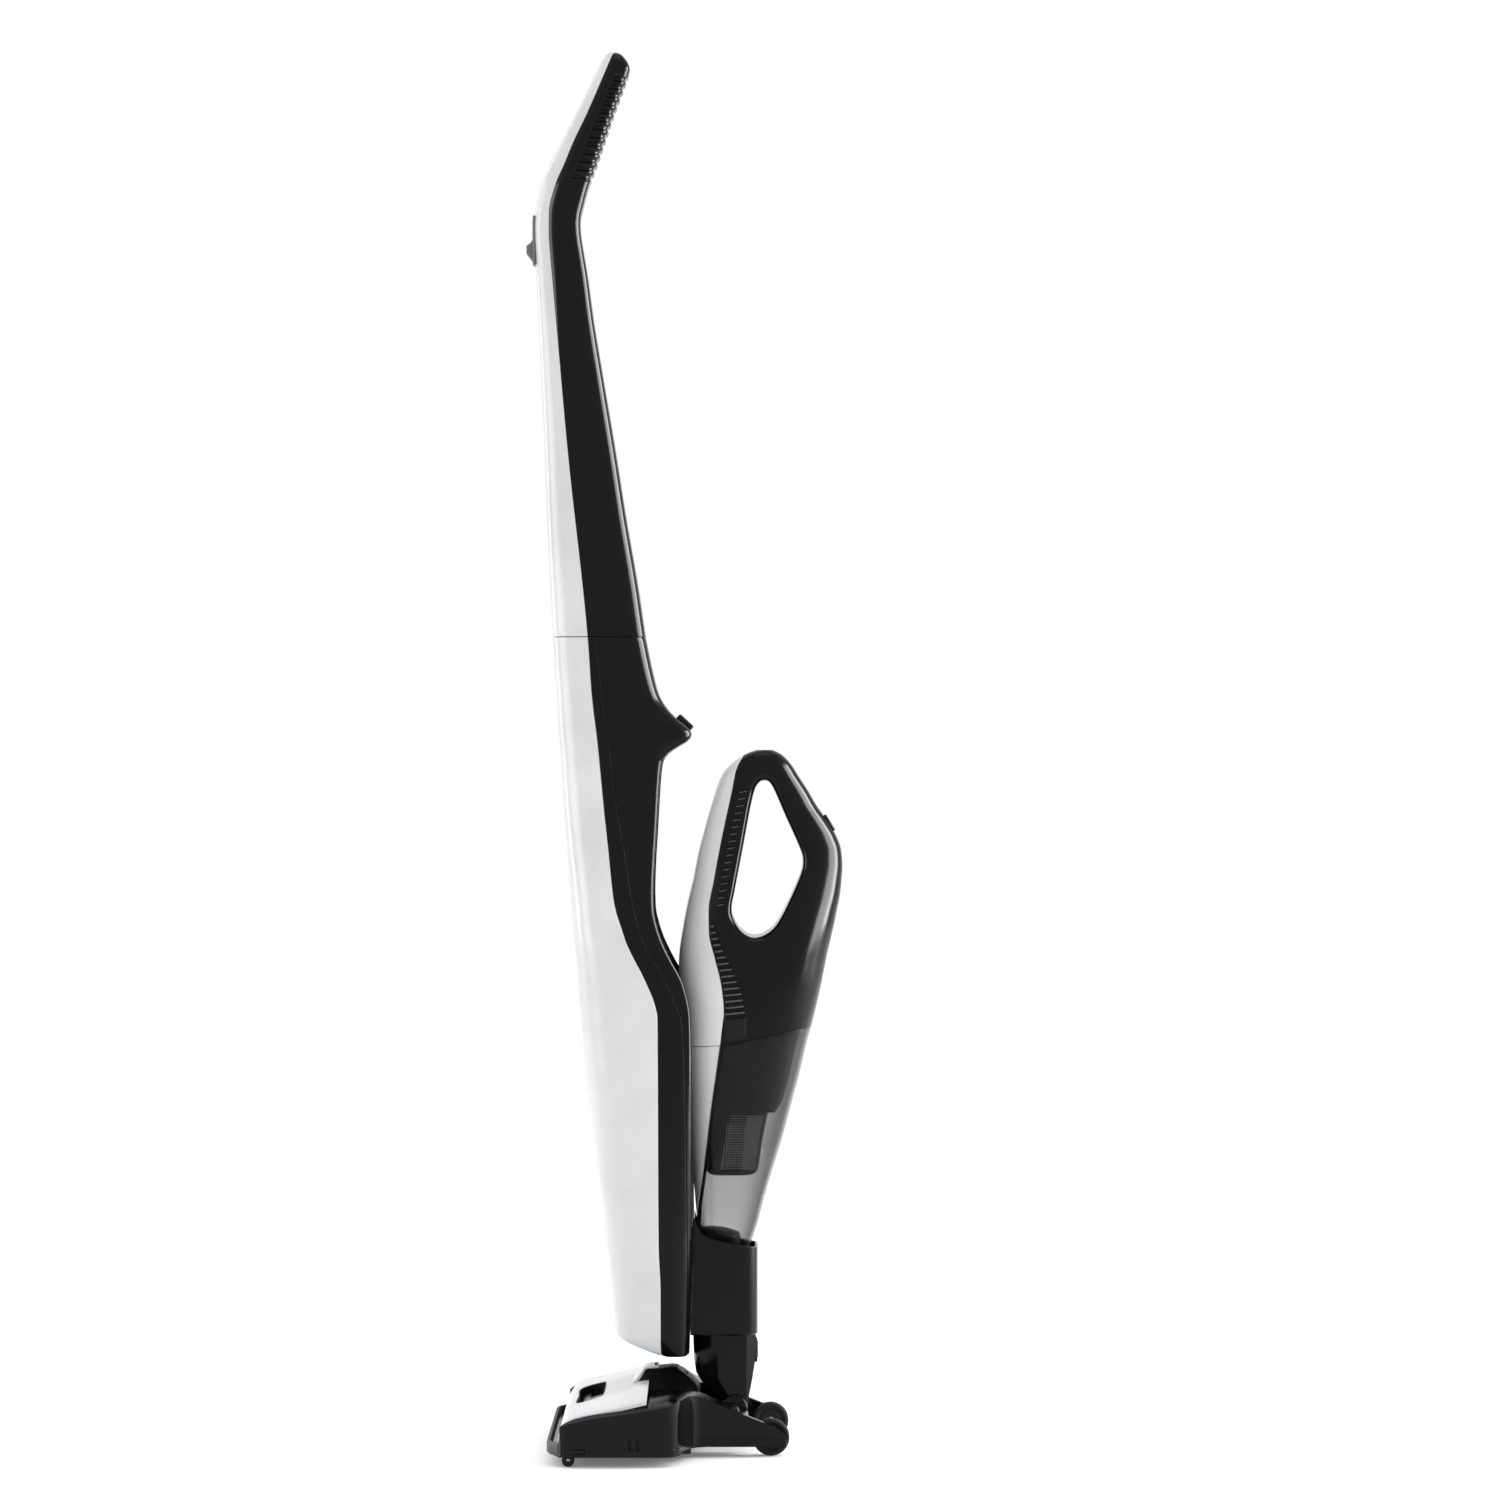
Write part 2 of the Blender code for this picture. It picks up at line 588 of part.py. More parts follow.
def build_bin_parts():
    rows = between(HAND, HAND_FOOT, BIN_FLOOR - GAP / 2)
    base = part("bin_nozzle", loft([hand_section(row) for row in rows]), BLACK)
    join(base, box((18, 29, 24), tuple(along_hand(9.5)), HAND_LEAN))
    cut(base, box((13, 24, 60), tuple(along_hand(12)), HAND_LEAN))
    holder = [hand_section(row, HAND_WALL + GAP) for row in between(HAND, 272, 352)]
    top = [(x, z - GAP) for x, z in SEAM] + [(140, 200), (-20, 200)]
    piece = part("filter_holder", loft(holder), MATTE)
    boolean(piece, cutter(prism(top, -60, 60)), "INTERSECT")
    cut(piece, box((40, 46, 120), (50, 0, 300)))
    part("filter_frame", frame_cup(5.0), MESH_GREY)
    element = [hand_section(row, HAND_WALL + 1.0) for row in between(FILTER, 226, 266)]
    part("filter_element", loft(element), PAPER)


POWER_SPOT, POWER_LEAN = (114.5, 0, 498.5), -24
BIN_RELEASE_SPOT = (-1.2, 0, 345)


def build_hand_parts(front, rear):
    along = tuple(lean_vector())
    part("motor_gasket", sleeve(23.5, 14, 3, tuple(along_hand(192.5)), along), RUBBER)
    part("impeller", cylinder(22, 7, tuple(along_hand(199)), along, 24, 18), GREY)
    part("suction_motor", cylinder(20, 44, tuple(along_hand(226)), along, 24), COPPER)
    part("hand_battery", box((14, 44, 34), (88.5, 0, 368), 10, 2), CELL)
    part("hand_board", box((56, 34, 1.6), (50, 0, 399.5), 0), BOARD)
    part("power_button", box((7, 12, 15), POWER_SPOT, POWER_LEAN, 1), GREY)
    inward = Matrix.Rotation(math.radians(POWER_LEAN), 3, "Y") @ Vector((-2.5, 0, 0))
    cut(rear, box((12, 12.8, 15.8), tuple(Vector(POWER_SPOT) + inward), POWER_LEAN))
    part("bin_release_button", box((8, 20, 14), BIN_RELEASE_SPOT, -3, 1), GREY)
    cut(front, box((12, 20.8, 14.8), BIN_RELEASE_SPOT, -3))


# ---- neck ----
def build_neck():
    top = CUP_BOTTOM - GAP
    barrel = cylinder(BARREL_RADIUS, 2 * BARREL_HALF, (PIVOT_X, 0, PIVOT_Z), (0, 1, 0))
    yoke = part("neck_yoke", barrel, BLACK)
    outline = [(9, 68), (9, 61), (16, 52), (31, 41), (33, 30), (47, 30), (50.5, 34), (51.6, 44),
               (54, 57), (55.5, 68)]
    collar = cylinder(COLLAR_RADIUS, top - 62, (SWIVEL_X, 0, (top + 62) / 2), segments=36)
    join(yoke, prism(outline, -23, 23), collar)
    bore = cylinder(PIN_RADIUS + GAP, 2 * BARREL_HALF + 10, (PIVOT_X, 0, PIVOT_Z), (0, 1, 0), 16)
    duct = cylinder(12, 60, (SWIVEL_X - 2, 0, 82))
    latch_pocket = box((8, 15, 20), (56.5, 0, LATCH_Z))
    cut(yoke, bore, duct, latch_pocket)
    part("head_latch", box((4.6, 14.2, 19), (56.2, 0, LATCH_Z), 0, 1), MATTE)
    return yoke


# ---- floor head ----
SLOT_HALF = BARREL_HALF + 1.5
ARM_IN = 56.0
ARM_OUT = 62.0
RIM = 6.0
HUMP_TOP = 13.0
HUMP_FOOT = 25.0


def head_plan():
    w = HALF_HEAD
    half = [(-101.5, 60), (-99.5, w - 17), (-97, w - 6.5), (-90, w - 1), (-80, w), (-20, w), (-10, w - 3.5),
            (-3, w - 14), (1, w - 32), (5, ARM_OUT + 12), (10, ARM_OUT + 3), (18, ARM_OUT), (77, ARM_OUT),
            (80, ARM_OUT - 2), (80, ARM_IN), (50, ARM_IN), (50, SLOT_HALF), (12, SLOT_HALF)]
    return half + [(x, -y) for x, y in reversed(half)]


HEAD_SIDE = [(-104, HEAD_BOTTOM), (-104, 19), (-97, 29), (-88, 35.5), (-72, 40), (-40, 44.5),
             (-12, 49), (2, 49.5), (12, 46.5), (22, 42.5), (38, 38.5), (50, 33), (62, 27), (74, 23),
             (79, 19), (83, 13), (83, HEAD_BOTTOM)]
COVER_HALF = HALF_HEAD - RIM
# distance along x, crown height at the middle, height at the edge, thickness
COVER_ROWS = [(-97, 26, 22, 6), (-94.5, 31.5, 28.4, 5), (-91, 36, 34, 4), (-86, 39.8, 38.4, 3),
              (-77, 43, 41.3, 2.6), (-66, 46.2, 43.3, 2.6), (-50, 51, 46.8, 3.2), (-38, 54.4, 49.5, 4.2),
              (-28, 56, 52, 4.8)]
COVER_SEAT = [(-97.6, 13.6), (-94.5, 23), (-91, 29.6), (-86, 35), (-77, 38.3), (-66, 40.3), (-50, 43.2),
              (-38, 44.9), (-27.4, 46.8), (-27.4, 75), (-110, 75), (-110, 13.6)]
WINDOW_FRONT, WINDOW_REAR, WINDOW_HALF = -82.0, -61.0, 49.0


def cover_band(low, high, half, lift=0.0, trim=0.0):
    """Crowned band of the cover between two x stations."""
    rings = []
    for x, crown, edge, thick in between(COVER_ROWS, low, high):
        top, under = [], []
        for i in range(13):
            y = half * (2 * i / 12 - 1)
            z = crown - (crown - edge) * (y / COVER_HALF) ** 2
            top.append((x, y, z + lift))
            under.append((x, y, z - thick + trim))
        rings.append(top + under[::-1])
    return loft(rings)


def build_head():
    base = part("head_base", prism(head_plan(), HEAD_BOTTOM, 60, "Z"), BLACK)
    boolean(base, cutter(prism(HEAD_SIDE, -HALF_HEAD - 5, HALF_HEAD + 5)), "INTERSECT")
    seat = prism(COVER_SEAT, -COVER_HALF - GAP, COVER_HALF + GAP)
    chamber = cylinder(BRISTLE_RADIUS + 2.0, 2 * BRUSH_HALF + 8, (BRUSH_X, 0, BRUSH_Z), (0, 1, 0), 32)
    mouth = box((34, 2 * BRUSH_HALF + 8, 30), (BRUSH_X, 0, 5))
    bay = box((34, 2 * COVER_HALF - 14, 60), (-25, 0, 41.5))
    hump = prism([(-27.7, 40), (11.7, 40), (11.7, 70), (-27.7, 70)], -SLOT_HALF - GAP, SLOT_HALF + GAP)
    belt_slot = box((20, 11, 34), (-47, CORE_LEFT + 5, 28))
    cut(base, seat, chamber, mouth, bay, hump, belt_slot)
    for side in (1, -1):
        pin = cylinder(PIN_RADIUS + GAP, 26, (PIVOT_X, side * 39, PIVOT_Z), (0, 1, 0), 16)
        axle = cylinder(AXLE_RADIUS + GAP, 8, (WHEEL_X, side * (ARM_IN + 0.5), WHEEL_RADIUS), (0, 1, 0), 16)
        castor = box((13, CASTOR_WIDTH + 2, 8), (CASTOR_X, side * castor_y(), HEAD_BOTTOM))
        cut(base, pin, axle, castor)
    return base


def castor_y():
    return HALF_HEAD - 9.5


def build_head_covers():
    cover = part("head_cover", cover_band(-97, -28, COVER_HALF), WHITE)
    opening = prism([(WINDOW_FRONT, 30), (WINDOW_REAR, 30), (WINDOW_REAR, 80), (WINDOW_FRONT, 80)],
                    -WINDOW_HALF, WINDOW_HALF)
    cut(cover, opening)
    pane = cover_band(WINDOW_FRONT + GAP, WINDOW_REAR - GAP, WINDOW_HALF - GAP, -0.4, 0.4)
    part("brush_window", pane, SMOKE)
    dome = [(-27.4, 47.5), (-27.4, 60.5), (-20, 63.2), (-10, 64.6), (-5, 64.2), (1.2, 59.5), (8, 53),
            (11.4, 47), (11.4, 40.4), (-27.4, 40.4)]
    shoulders = [(-SLOT_HALF, 49.2), (-HUMP_FOOT, 52), (-HUMP_TOP, 70)]
    shoulders += [(-y, limit) for y, limit in reversed(shoulders)]
    rings = [[(x, y, min(z, limit)) for x, z in dome] for y, limit in shoulders]
    duct_cover = part("duct_cover", loft(rings), BLACK)
    cut(duct_cover, cylinder(DUCT_RADIUS + GAP, 32, (-14, 0, DUCT_Z), (1, 0, 0)))
    duct = sleeve(DUCT_RADIUS, DUCT_RADIUS - 1.5, 27, (-13.2, 0, DUCT_Z), (1, 0, 0))
    part("suction_duct", duct, MATTE)
    plan = [(-101.8, 60), (-99.8, HALF_HEAD - 17), (-97.4, HALF_HEAD - 6.5), (-93, HALF_HEAD - 2.8)]
    strip = ([(x - 0.3, y) for x, y in plan] + [(x - 2.6, y + 0.4) for x, y in reversed(plan)]
             + [(x - 2.6, -y - 0.4) for x, y in plan] + [(x - 0.3, -y) for x, y in reversed(plan)])
    part("front_bumper", prism(strip, HEAD_BOTTOM + 0.5, 19, "Z"), RUBBER)
    plate = [(-97, 18 - HALF_HEAD), (6, 38 - HALF_HEAD), (6, HALF_HEAD - 38), (-97, HALF_HEAD - 18)]
    sole = part("sole_plate", prism(plate, HEAD_BOTTOM - 2.3, HEAD_BOTTOM - GAP, "Z"), MATTE)
    cut(sole, box((32, 2 * HALF_HEAD - 60, 20), (BRUSH_X, 0, 6)))


def build_brush():
    y_axis = (0, 1, 0)
    length = BRUSH_HALF - 8 + CORE_LEFT
    middle = (BRUSH_X, CORE_LEFT - length / 2, BRUSH_Z)
    core = part("brush_core", cylinder(BRUSH_CORE_RADIUS, length, middle, y_axis, 20), GREY)
    cut(core, cylinder(SHAFT_RADIUS + GAP, 2 * length, middle, y_axis, 12))
    part("brush_shaft", cylinder(SHAFT_RADIUS, 2 * BRUSH_HALF - 6, (BRUSH_X, 0, BRUSH_Z), y_axis, 12), STEEL)
    for k, name in enumerate(("bristle_strip_a", "bristle_strip_b")):
        part(name, helix_fin(math.pi * k), BRISTLE)
    for side, name in ((1, "brush_bearing_left"), (-1, "brush_bearing_right")):
        ring = sleeve(8, SHAFT_RADIUS + GAP, 4, (BRUSH_X, side * (BRUSH_HALF - 5), BRUSH_Z), y_axis, 16)
        part(name, ring, STEEL)


def helix_fin(phase):
    """Radial fin that winds a third of a turn along the roll."""
    rings = []
    steps = 14
    low_end, high_end = 12 - BRUSH_HALF, CORE_LEFT - 2
    for i in range(steps + 1):
        angle = phase + 2.2 * i / steps
        y = low_end + (high_end - low_end) * i / steps
        out = Vector((math.cos(angle), 0, math.sin(angle)))
        side = Vector((-math.sin(angle), 0, math.cos(angle)))
        middle = Vector((BRUSH_X, y, BRUSH_Z))
        low = BRUSH_CORE_RADIUS + GAP
        ring = [middle + out * low - side * 1.2, middle + out * BRISTLE_RADIUS - side * 1.6,
                middle + out * BRISTLE_RADIUS + side * 1.6, middle + out * low + side * 1.2]
        rings.append([tuple(p) for p in ring])
    return loft(rings)


def belt_loop(extra, y):
    """Points round both pulleys, extra outside their rims."""
    big, small = BRUSH_PULLEY_RADIUS + extra, PULLEY_RADIUS + extra
    run = Vector((MOTOR_X - BRUSH_X, MOTOR_Z - BRUSH_Z))
    heading = math.degrees(math.atan2(run.y, run.x))
    wrap = math.degrees(math.acos((big - small) / run.length))
    loop = arc(BRUSH_X, BRUSH_Z, big, big, heading + wrap, heading + 360 - wrap, 12)
    loop += arc(MOTOR_X, MOTOR_Z, small, small, heading - wrap, heading + wrap, 8)
    return [(x, y, z) for x, z in loop]


def build_drive():
    y_axis = (0, 1, 0)
    low, high = CORE_LEFT + 2.5, CORE_LEFT + 7.5
    motor_end = CORE_LEFT - 6
    spot = (MOTOR_X, motor_end - MOTOR_LENGTH / 2, MOTOR_Z)
    part("brush_motor", cylinder(MOTOR_RADIUS, MOTOR_LENGTH, spot, y_axis, 20), COPPER)
    rim = (MOTOR_X, (motor_end + GAP + high + 1) / 2, MOTOR_Z)
    part("motor_pulley", cylinder(PULLEY_RADIUS, high + 1 - motor_end - GAP, rim, y_axis, 16), STEEL)
    hub = (BRUSH_X, (low + high) / 2, BRUSH_Z)
    pulley = sleeve(BRUSH_PULLEY_RADIUS, SHAFT_RADIUS + GAP, high - low + 2, hub, y_axis, 24)
    part("brush_pulley", pulley, GREY)
    inner, outer = GAP, GAP + BELT_THICKNESS
    loops = [belt_loop(inner, low), belt_loop(outer, low), belt_loop(outer, high), belt_loop(inner, high)]
    part("drive_belt", loft(loops, closed=True), RUBBER)


# ---- wheels ----
def wheel_y():
    return ARM_IN - 1.2 - WHEEL_WIDTH / 2


def build_wheels():
    for side, word in ((1, "left"), (-1, "right")):
        y = side * wheel_y()
        wheel = tyre(WHEEL_RADIUS, WHEEL_WIDTH, AXLE_RADIUS + GAP, (WHEEL_X, y, WHEEL_RADIUS))
        part("rear_wheel_" + word, wheel, RUBBER)
        middle = (WHEEL_X, y + side * 2.2, WHEEL_RADIUS)
        axle = cylinder(AXLE_RADIUS, WHEEL_WIDTH + 3.6, middle, (0, 1, 0), 16)
        part("wheel_axle_" + word, axle, STEEL)
        spot = (CASTOR_X, side * castor_y(), CASTOR_RADIUS)
        part("front_castor_" + word, tyre(CASTOR_RADIUS, CASTOR_WIDTH, 1.6, spot, 16), MATTE)


def tyre(radius, width, bore, centre, segments=32):
    """Wheel turned about Y, with rounded shoulders and a through bore."""
    half = width / 2
    shoulder = radius * 0.12
    profile = [(bore, -half), (radius - shoulder, -half), (radius, -half + shoulder),
               (radius, half - shoulder), (radius - shoulder, half), (bore, half)]
    rings = []
    for i in range(segments):
        angle = math.tau * i / segments - math.pi / 2
        rings.append([(centre[0] + r * math.cos(angle), centre[1] + y, centre[2] + r * math.sin(angle))
                      for r, y in profile])
    return loft(rings, closed=True)


def build_pins():
    for side, word in ((1, "left"), (-1, "right")):
        pin = cylinder(PIN_RADIUS, 30, (PIVOT_X, side * 36.5, PIVOT_Z), (0, 1, 0), 16)
        part("hinge_pin_" + word, pin, STEEL)


# ---- joint axes: the moving pieces hang from empties on them ----
def axis(name, spot, children, parent=None):
    """Empty on a joint's axis, which carries its pieces without moving them."""
    empty = bpy.data.objects.new(name, None)
    empty.empty_display_size = 0.02
    empty.location = Vector(spot) / 1000
    PARTS.objects.link(empty)
    here = Matrix.Translation(empty.location)
    if parent:
        empty.parent = parent
        empty.matrix_parent_inverse = Matrix.Translation(parent["spot"]).inverted()
    empty["spot"] = tuple(empty.location)
    for child in children:
        PARTS.objects[child].parent = empty
        PARTS.objects[child].matrix_parent_inverse = here.inverted()
    return empty


def build_axes():
    axis("brush_axis", (BRUSH_X, 0, BRUSH_Z),
         ["brush_core", "brush_shaft", "bristle_strip_a", "bristle_strip_b", "brush_pulley"])
    axis("motor_axis", (MOTOR_X, 0, MOTOR_Z), ["motor_pulley"])
    for side, word in ((1, "left"), (-1, "right")):
        axis("wheel_axis_" + word, (WHEEL_X, side * wheel_y(), WHEEL_RADIUS), ["rear_wheel_" + word])
        axis("castor_axis_" + word, (CASTOR_X, side * castor_y(), CASTOR_RADIUS), ["front_castor_" + word])
    tilt = axis("tilt_axis", (PIVOT_X, 0, PIVOT_Z), ["neck_yoke", "head_latch"])
    swivel = axis("swivel_axis", (SWIVEL_X, 0, CUP_BOTTOM),
                  ["body_front_shell", "body_rear_shell", "handle_front_shell", "handle_rear_shell",
                   "cradle_cup", "battery_pack", "control_board", "wire_loom", "joint_sleeve",
                   "handle_screw", "switch_bezel", "switch_board", "release_button", "slide_switch"], tilt)
    rock = axis("drum_axis", (DRUM_X, 0, DRUM_Z), ["nozzle_seal"], swivel)
    lift = axis("lift_axis", along_hand(10), ["bin_shell", "bin_front", "bin_nozzle", "filter_holder",
                                              "filter_frame", "filter_element"], rock)
    unit = axis("bin_part_axis", along_hand(180), ["hand_front_shell", "hand_rear_shell", "suction_motor",
                                                   "hand_battery", "hand_board", "motor_gasket",
                                                   "power_button", "bin_release_button"], lift)
    axis("fan_axis", along_hand(199), ["impeller"], unit)


body_front, body_rear, grip_front, grip_rear = build_stick()
build_joint(body_rear)
build_loom()
build_internals()
build_release(body_rear)
build_switch(grip_front)
build_cup()
build_seal()
hand_front, hand_rear = build_hand()
build_bin_parts()
build_hand_parts(hand_front, hand_rear)
build_neck()
build_head()
build_head_covers()
build_brush()
build_drive()
build_wheels()
build_pins()
build_axes()
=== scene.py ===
"""Looks of the cordless stick vacuum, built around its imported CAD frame.

Profiles are in millimetres, read at heights above the floor; MM turns them into metres.
The frame: +Z up, the cleaner's front faces -X, symmetric about Y = 0.
"""
import json
import math

import bmesh
import bpy
from mathutils import Matrix, Vector


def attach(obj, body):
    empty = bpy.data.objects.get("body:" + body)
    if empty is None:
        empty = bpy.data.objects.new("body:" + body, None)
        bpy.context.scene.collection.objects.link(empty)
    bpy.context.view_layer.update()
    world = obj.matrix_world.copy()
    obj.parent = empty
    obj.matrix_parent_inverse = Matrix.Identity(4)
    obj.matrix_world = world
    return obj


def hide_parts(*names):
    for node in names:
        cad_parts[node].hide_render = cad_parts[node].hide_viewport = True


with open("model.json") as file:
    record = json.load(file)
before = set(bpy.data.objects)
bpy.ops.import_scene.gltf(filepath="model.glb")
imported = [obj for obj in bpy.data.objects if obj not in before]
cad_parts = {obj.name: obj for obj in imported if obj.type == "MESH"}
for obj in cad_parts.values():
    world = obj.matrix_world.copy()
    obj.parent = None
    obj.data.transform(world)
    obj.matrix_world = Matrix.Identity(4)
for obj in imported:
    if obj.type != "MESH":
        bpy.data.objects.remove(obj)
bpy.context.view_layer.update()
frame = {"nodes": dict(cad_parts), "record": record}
MM = 0.001
SIDES = ((1, "left"), (-1, "right"))
Y_AXIS = (0, 1, 0)
GAP = 0.25          # half of the seam between two shells


def link(made):
    bpy.context.scene.collection.objects.link(made)


# ---- camera, light and floor ----
CAMERA_X, CAMERA_DISTANCE, CAMERA_HEIGHT = 0.0524, 4.0, 0.557
CAMERA_LENS = 120.0
FLOOR_RADIUS = 3.0


def build_camera():
    data = bpy.data.cameras.new("camera")
    data.lens = CAMERA_LENS
    data.sensor_width = 36.0
    camera = bpy.data.objects.new("camera", data)
    camera.location = (CAMERA_X, -CAMERA_DISTANCE, CAMERA_HEIGHT)
    camera.rotation_euler = (math.radians(90), 0, 0)
    link(camera)
    bpy.context.scene.camera = camera


def area_light(name, place, target, size, power, gloss_only=False):
    data = bpy.data.lights.new(name, "AREA")
    data.shape = "RECTANGLE"
    data.size, data.size_y = size
    data.energy = power
    lamp = bpy.data.objects.new(name, data)
    lamp.location = place
    lamp.rotation_euler = (Vector(target) - Vector(place)).to_track_quat("-Z", "Y").to_euler()
    lamp.visible_diffuse = not gloss_only
    link(lamp)


def build_stage():
    """Round pale floor that runs out into the white surroundings."""
    bm = bmesh.new()
    bmesh.ops.create_circle(bm, cap_ends=True, segments=96, radius=FLOOR_RADIUS)
    bmesh.ops.translate(bm, vec=(0, 0, -0.0002), verts=bm.verts)
    mesh = bpy.data.meshes.new("floor")
    bm.to_mesh(mesh)
    bm.free()
    floor = bpy.data.objects.new("floor", mesh)
    link(floor)
    paper = new_material("floor_paper", {
        "Base Color": (0.88, 0.88, 0.88, 1), "Roughness": 0.9, "Specular IOR Level": 0.1,
        "Emission Color": (1, 1, 1, 1), "Emission Strength": 0.12})[0]
    mesh.materials.append(paper)


def build_light():
    world = bpy.data.worlds.new("studio")
    world.use_nodes = True
    background = world.node_tree.nodes["Background"]
    background.inputs["Color"].default_value = (1, 1, 1, 1)
    background.inputs["Strength"].default_value = 1.0
    bpy.context.scene.world = world
    middle = (0.0, 0.0, 0.6)
    area_light("left_softbox", (-2.4, -1.8, 1.4), middle, (1.2, 2.2), 4)
    area_light("right_strip", (2.4, 0.25, 0.9), (0.0, 0.0, 0.5), (0.7, 2.6), 90)
    area_light("rear_left_strip", (-2.2, 1.6, 1.2), middle, (0.5, 2.2), 26)
    area_light("left_gloss", (-2.6, -0.35, 0.9), (0.0, 0.0, 0.6), (1.4, 2.4), 110, gloss_only=True)
    area_light("right_gloss", (2.5, -0.3, 1.0), (0.0, 0.0, 0.6), (1.7, 2.4), 320, gloss_only=True)
    area_light("top_softbox", (0.0, -0.2, 3.2), (0, 0, 0.3), (1.6, 1.6), 10)
    bpy.context.scene.view_settings.view_transform = "Standard"


# ---- materials ----
def set_inputs(node, values):
    for word, value in values.items():
        node.inputs[word].default_value = value
    return node


def new_material(name, values):
    """Material with its shader's inputs set, and the parts of its node tree."""
    made = bpy.data.materials.new(name)
    made.use_nodes = True
    nodes = made.node_tree.nodes
    return made, nodes, made.node_tree.links.new, set_inputs(nodes["Principled BSDF"], values)


def two_tone(nodes, colour, low, high):
    """Ramp between a darker and a lighter shade of the colour."""
    ramp = nodes.new("ShaderNodeValToRGB")
    for stop, share in zip(ramp.color_ramp.elements, (low, high)):
        stop.color = (*[min(1.0, c * share) for c in colour], 1)
    return ramp


def finish_of(name, colour, roughness, shine, bump, bump_scale=900, metallic=0.0, spread=0.06):
    """Moulded finish: colour and roughness drift a little, and a fine grain lifts the surface."""
    values = {"Metallic": metallic, "Specular IOR Level": shine, "IOR": 1.49}
    made, nodes, join, shader = new_material(name, values)
    place = nodes.new("ShaderNodeTexCoord")
    cloud = set_inputs(nodes.new("ShaderNodeTexNoise"), {"Scale": 22.0, "Detail": 5.0})
    join(place.outputs["Object"], cloud.inputs["Vector"])
    drift = {"To Min": roughness - spread / 2, "To Max": roughness + spread}
    tint = set_inputs(nodes.new("ShaderNodeMapRange"), drift)
    join(cloud.outputs["Fac"], tint.inputs["Value"])
    join(tint.outputs["Result"], shader.inputs["Roughness"])
    ramp = two_tone(nodes, colour, 0.93, 1.04)
    ramp.color_ramp.elements[0].position = 0.3
    ramp.color_ramp.elements[1].position = 0.75
    join(cloud.outputs["Fac"], ramp.inputs["Fac"])
    join(ramp.outputs["Color"], shader.inputs["Base Color"])
    if bump:
        grain = set_inputs(nodes.new("ShaderNodeTexNoise"), {"Scale": bump_scale, "Detail": 3.0})
        join(place.outputs["Object"], grain.inputs["Vector"])
        lift = set_inputs(nodes.new("ShaderNodeBump"), {"Strength": bump, "Distance": 0.0002})
        join(grain.outputs["Fac"], lift.inputs["Height"])
        join(lift.outputs["Normal"], shader.inputs["Normal"])
    return made


# name, colour, roughness, shine, depth of the grain, scale of the grain
WHITE = finish_of("gloss_white", (0.61, 0.615, 0.625), 0.2, 0.13, 0.02, 260)
BLACK = finish_of("gloss_black", (0.003, 0.003, 0.0033), 0.14, 0.13, 0.02, 300)
MATTE = finish_of("matte_black", (0.006, 0.006, 0.0063), 0.5, 0.14, 0.35, 1800)
GREY = finish_of("satin_grey", (0.12, 0.12, 0.125), 0.38, 0.3, 0.2, 1500)
RUBBER = finish_of("rubber", (0.008, 0.008, 0.008), 0.7, 0.2, 0.4, 1400, spread=0.12)
STEEL = finish_of("turned_steel", (0.58, 0.58, 0.6), 0.26, 0.5, 0.15, 700, metallic=1.0)
CAN = finish_of("motor_can", (0.42, 0.42, 0.44), 0.34, 0.5, 0.1, 500, metallic=1.0)
BOARD = finish_of("circuit_board", (0.02, 0.13, 0.06), 0.45, 0.5, 0.3, 400)
CELL = finish_of("battery_wrap", (0.03, 0.1, 0.3), 0.32, 0.5, 0.1)
NYLON = finish_of("nylon", (0.03, 0.03, 0.034), 0.6, 0.5, 0.6, 2600)
BUMPER = finish_of("bumper_grey", (0.055, 0.055, 0.056), 0.55, 0.3, 0.4, 1600)
# satin black with a lighter colour than the gloss black: the colour paints the highlights along the vent
# bars and grip ribs
SATIN_PAINTED_HIGHLIGHT = finish_of("satin_black_painted_highlight", (0.05, 0.05, 0.052), 0.3, 0.4, 0.1)
SCREEN = finish_of("filter_screen", (0.13, 0.13, 0.134), 0.45, 0.5, 0.6, 2400)
PAPER = finish_of("filter_paper", (0.7, 0.69, 0.64), 0.9, 0.5, 0.5, 1200)
MESH_GREY = finish_of("filter_mesh", (0.22, 0.22, 0.225), 0.5, 0.5, 0.5, 2200)


def smoky(name, colour, alpha, rise, shine):
    """Clear tinted plastic: a glossy thin wall with more body at grazing angles."""
    values = {"Roughness": 0.06, "IOR": 1.5, "Specular IOR Level": shine}
    made, nodes, join, shader = new_material(name, values)
    haze = set_inputs(nodes.new("ShaderNodeTexNoise"), {"Scale": 30.0})
    body = two_tone(nodes, colour, 0.85, 1.15)
    join(haze.outputs["Fac"], body.inputs["Fac"])
    join(body.outputs["Color"], shader.inputs["Base Color"])
    edge = set_inputs(nodes.new("ShaderNodeLayerWeight"), {"Blend": 0.35})
    depth = {"To Min": alpha, "To Max": min(1.0, alpha + rise)}
    span = set_inputs(nodes.new("ShaderNodeMapRange"), depth)
    join(edge.outputs["Facing"], span.inputs["Value"])
    join(span.outputs["Result"], shader.inputs["Alpha"])
    return made


SMOKE = smoky("smoky_clear", (0.012, 0.012, 0.0125), 0.26, 0.5, 0.25)
PANE = smoky("window_smoke", (0.003, 0.003, 0.003), 0.72, 0.2, 0.04)
DUCT = finish_of("duct_black", (0.004, 0.004, 0.0043), 0.42, 0.07, 0.05, 500)
BLUED = finish_of("blued_steel", (0.035, 0.035, 0.037), 0.3, 0.5, 0.1, 700, metallic=1.0)

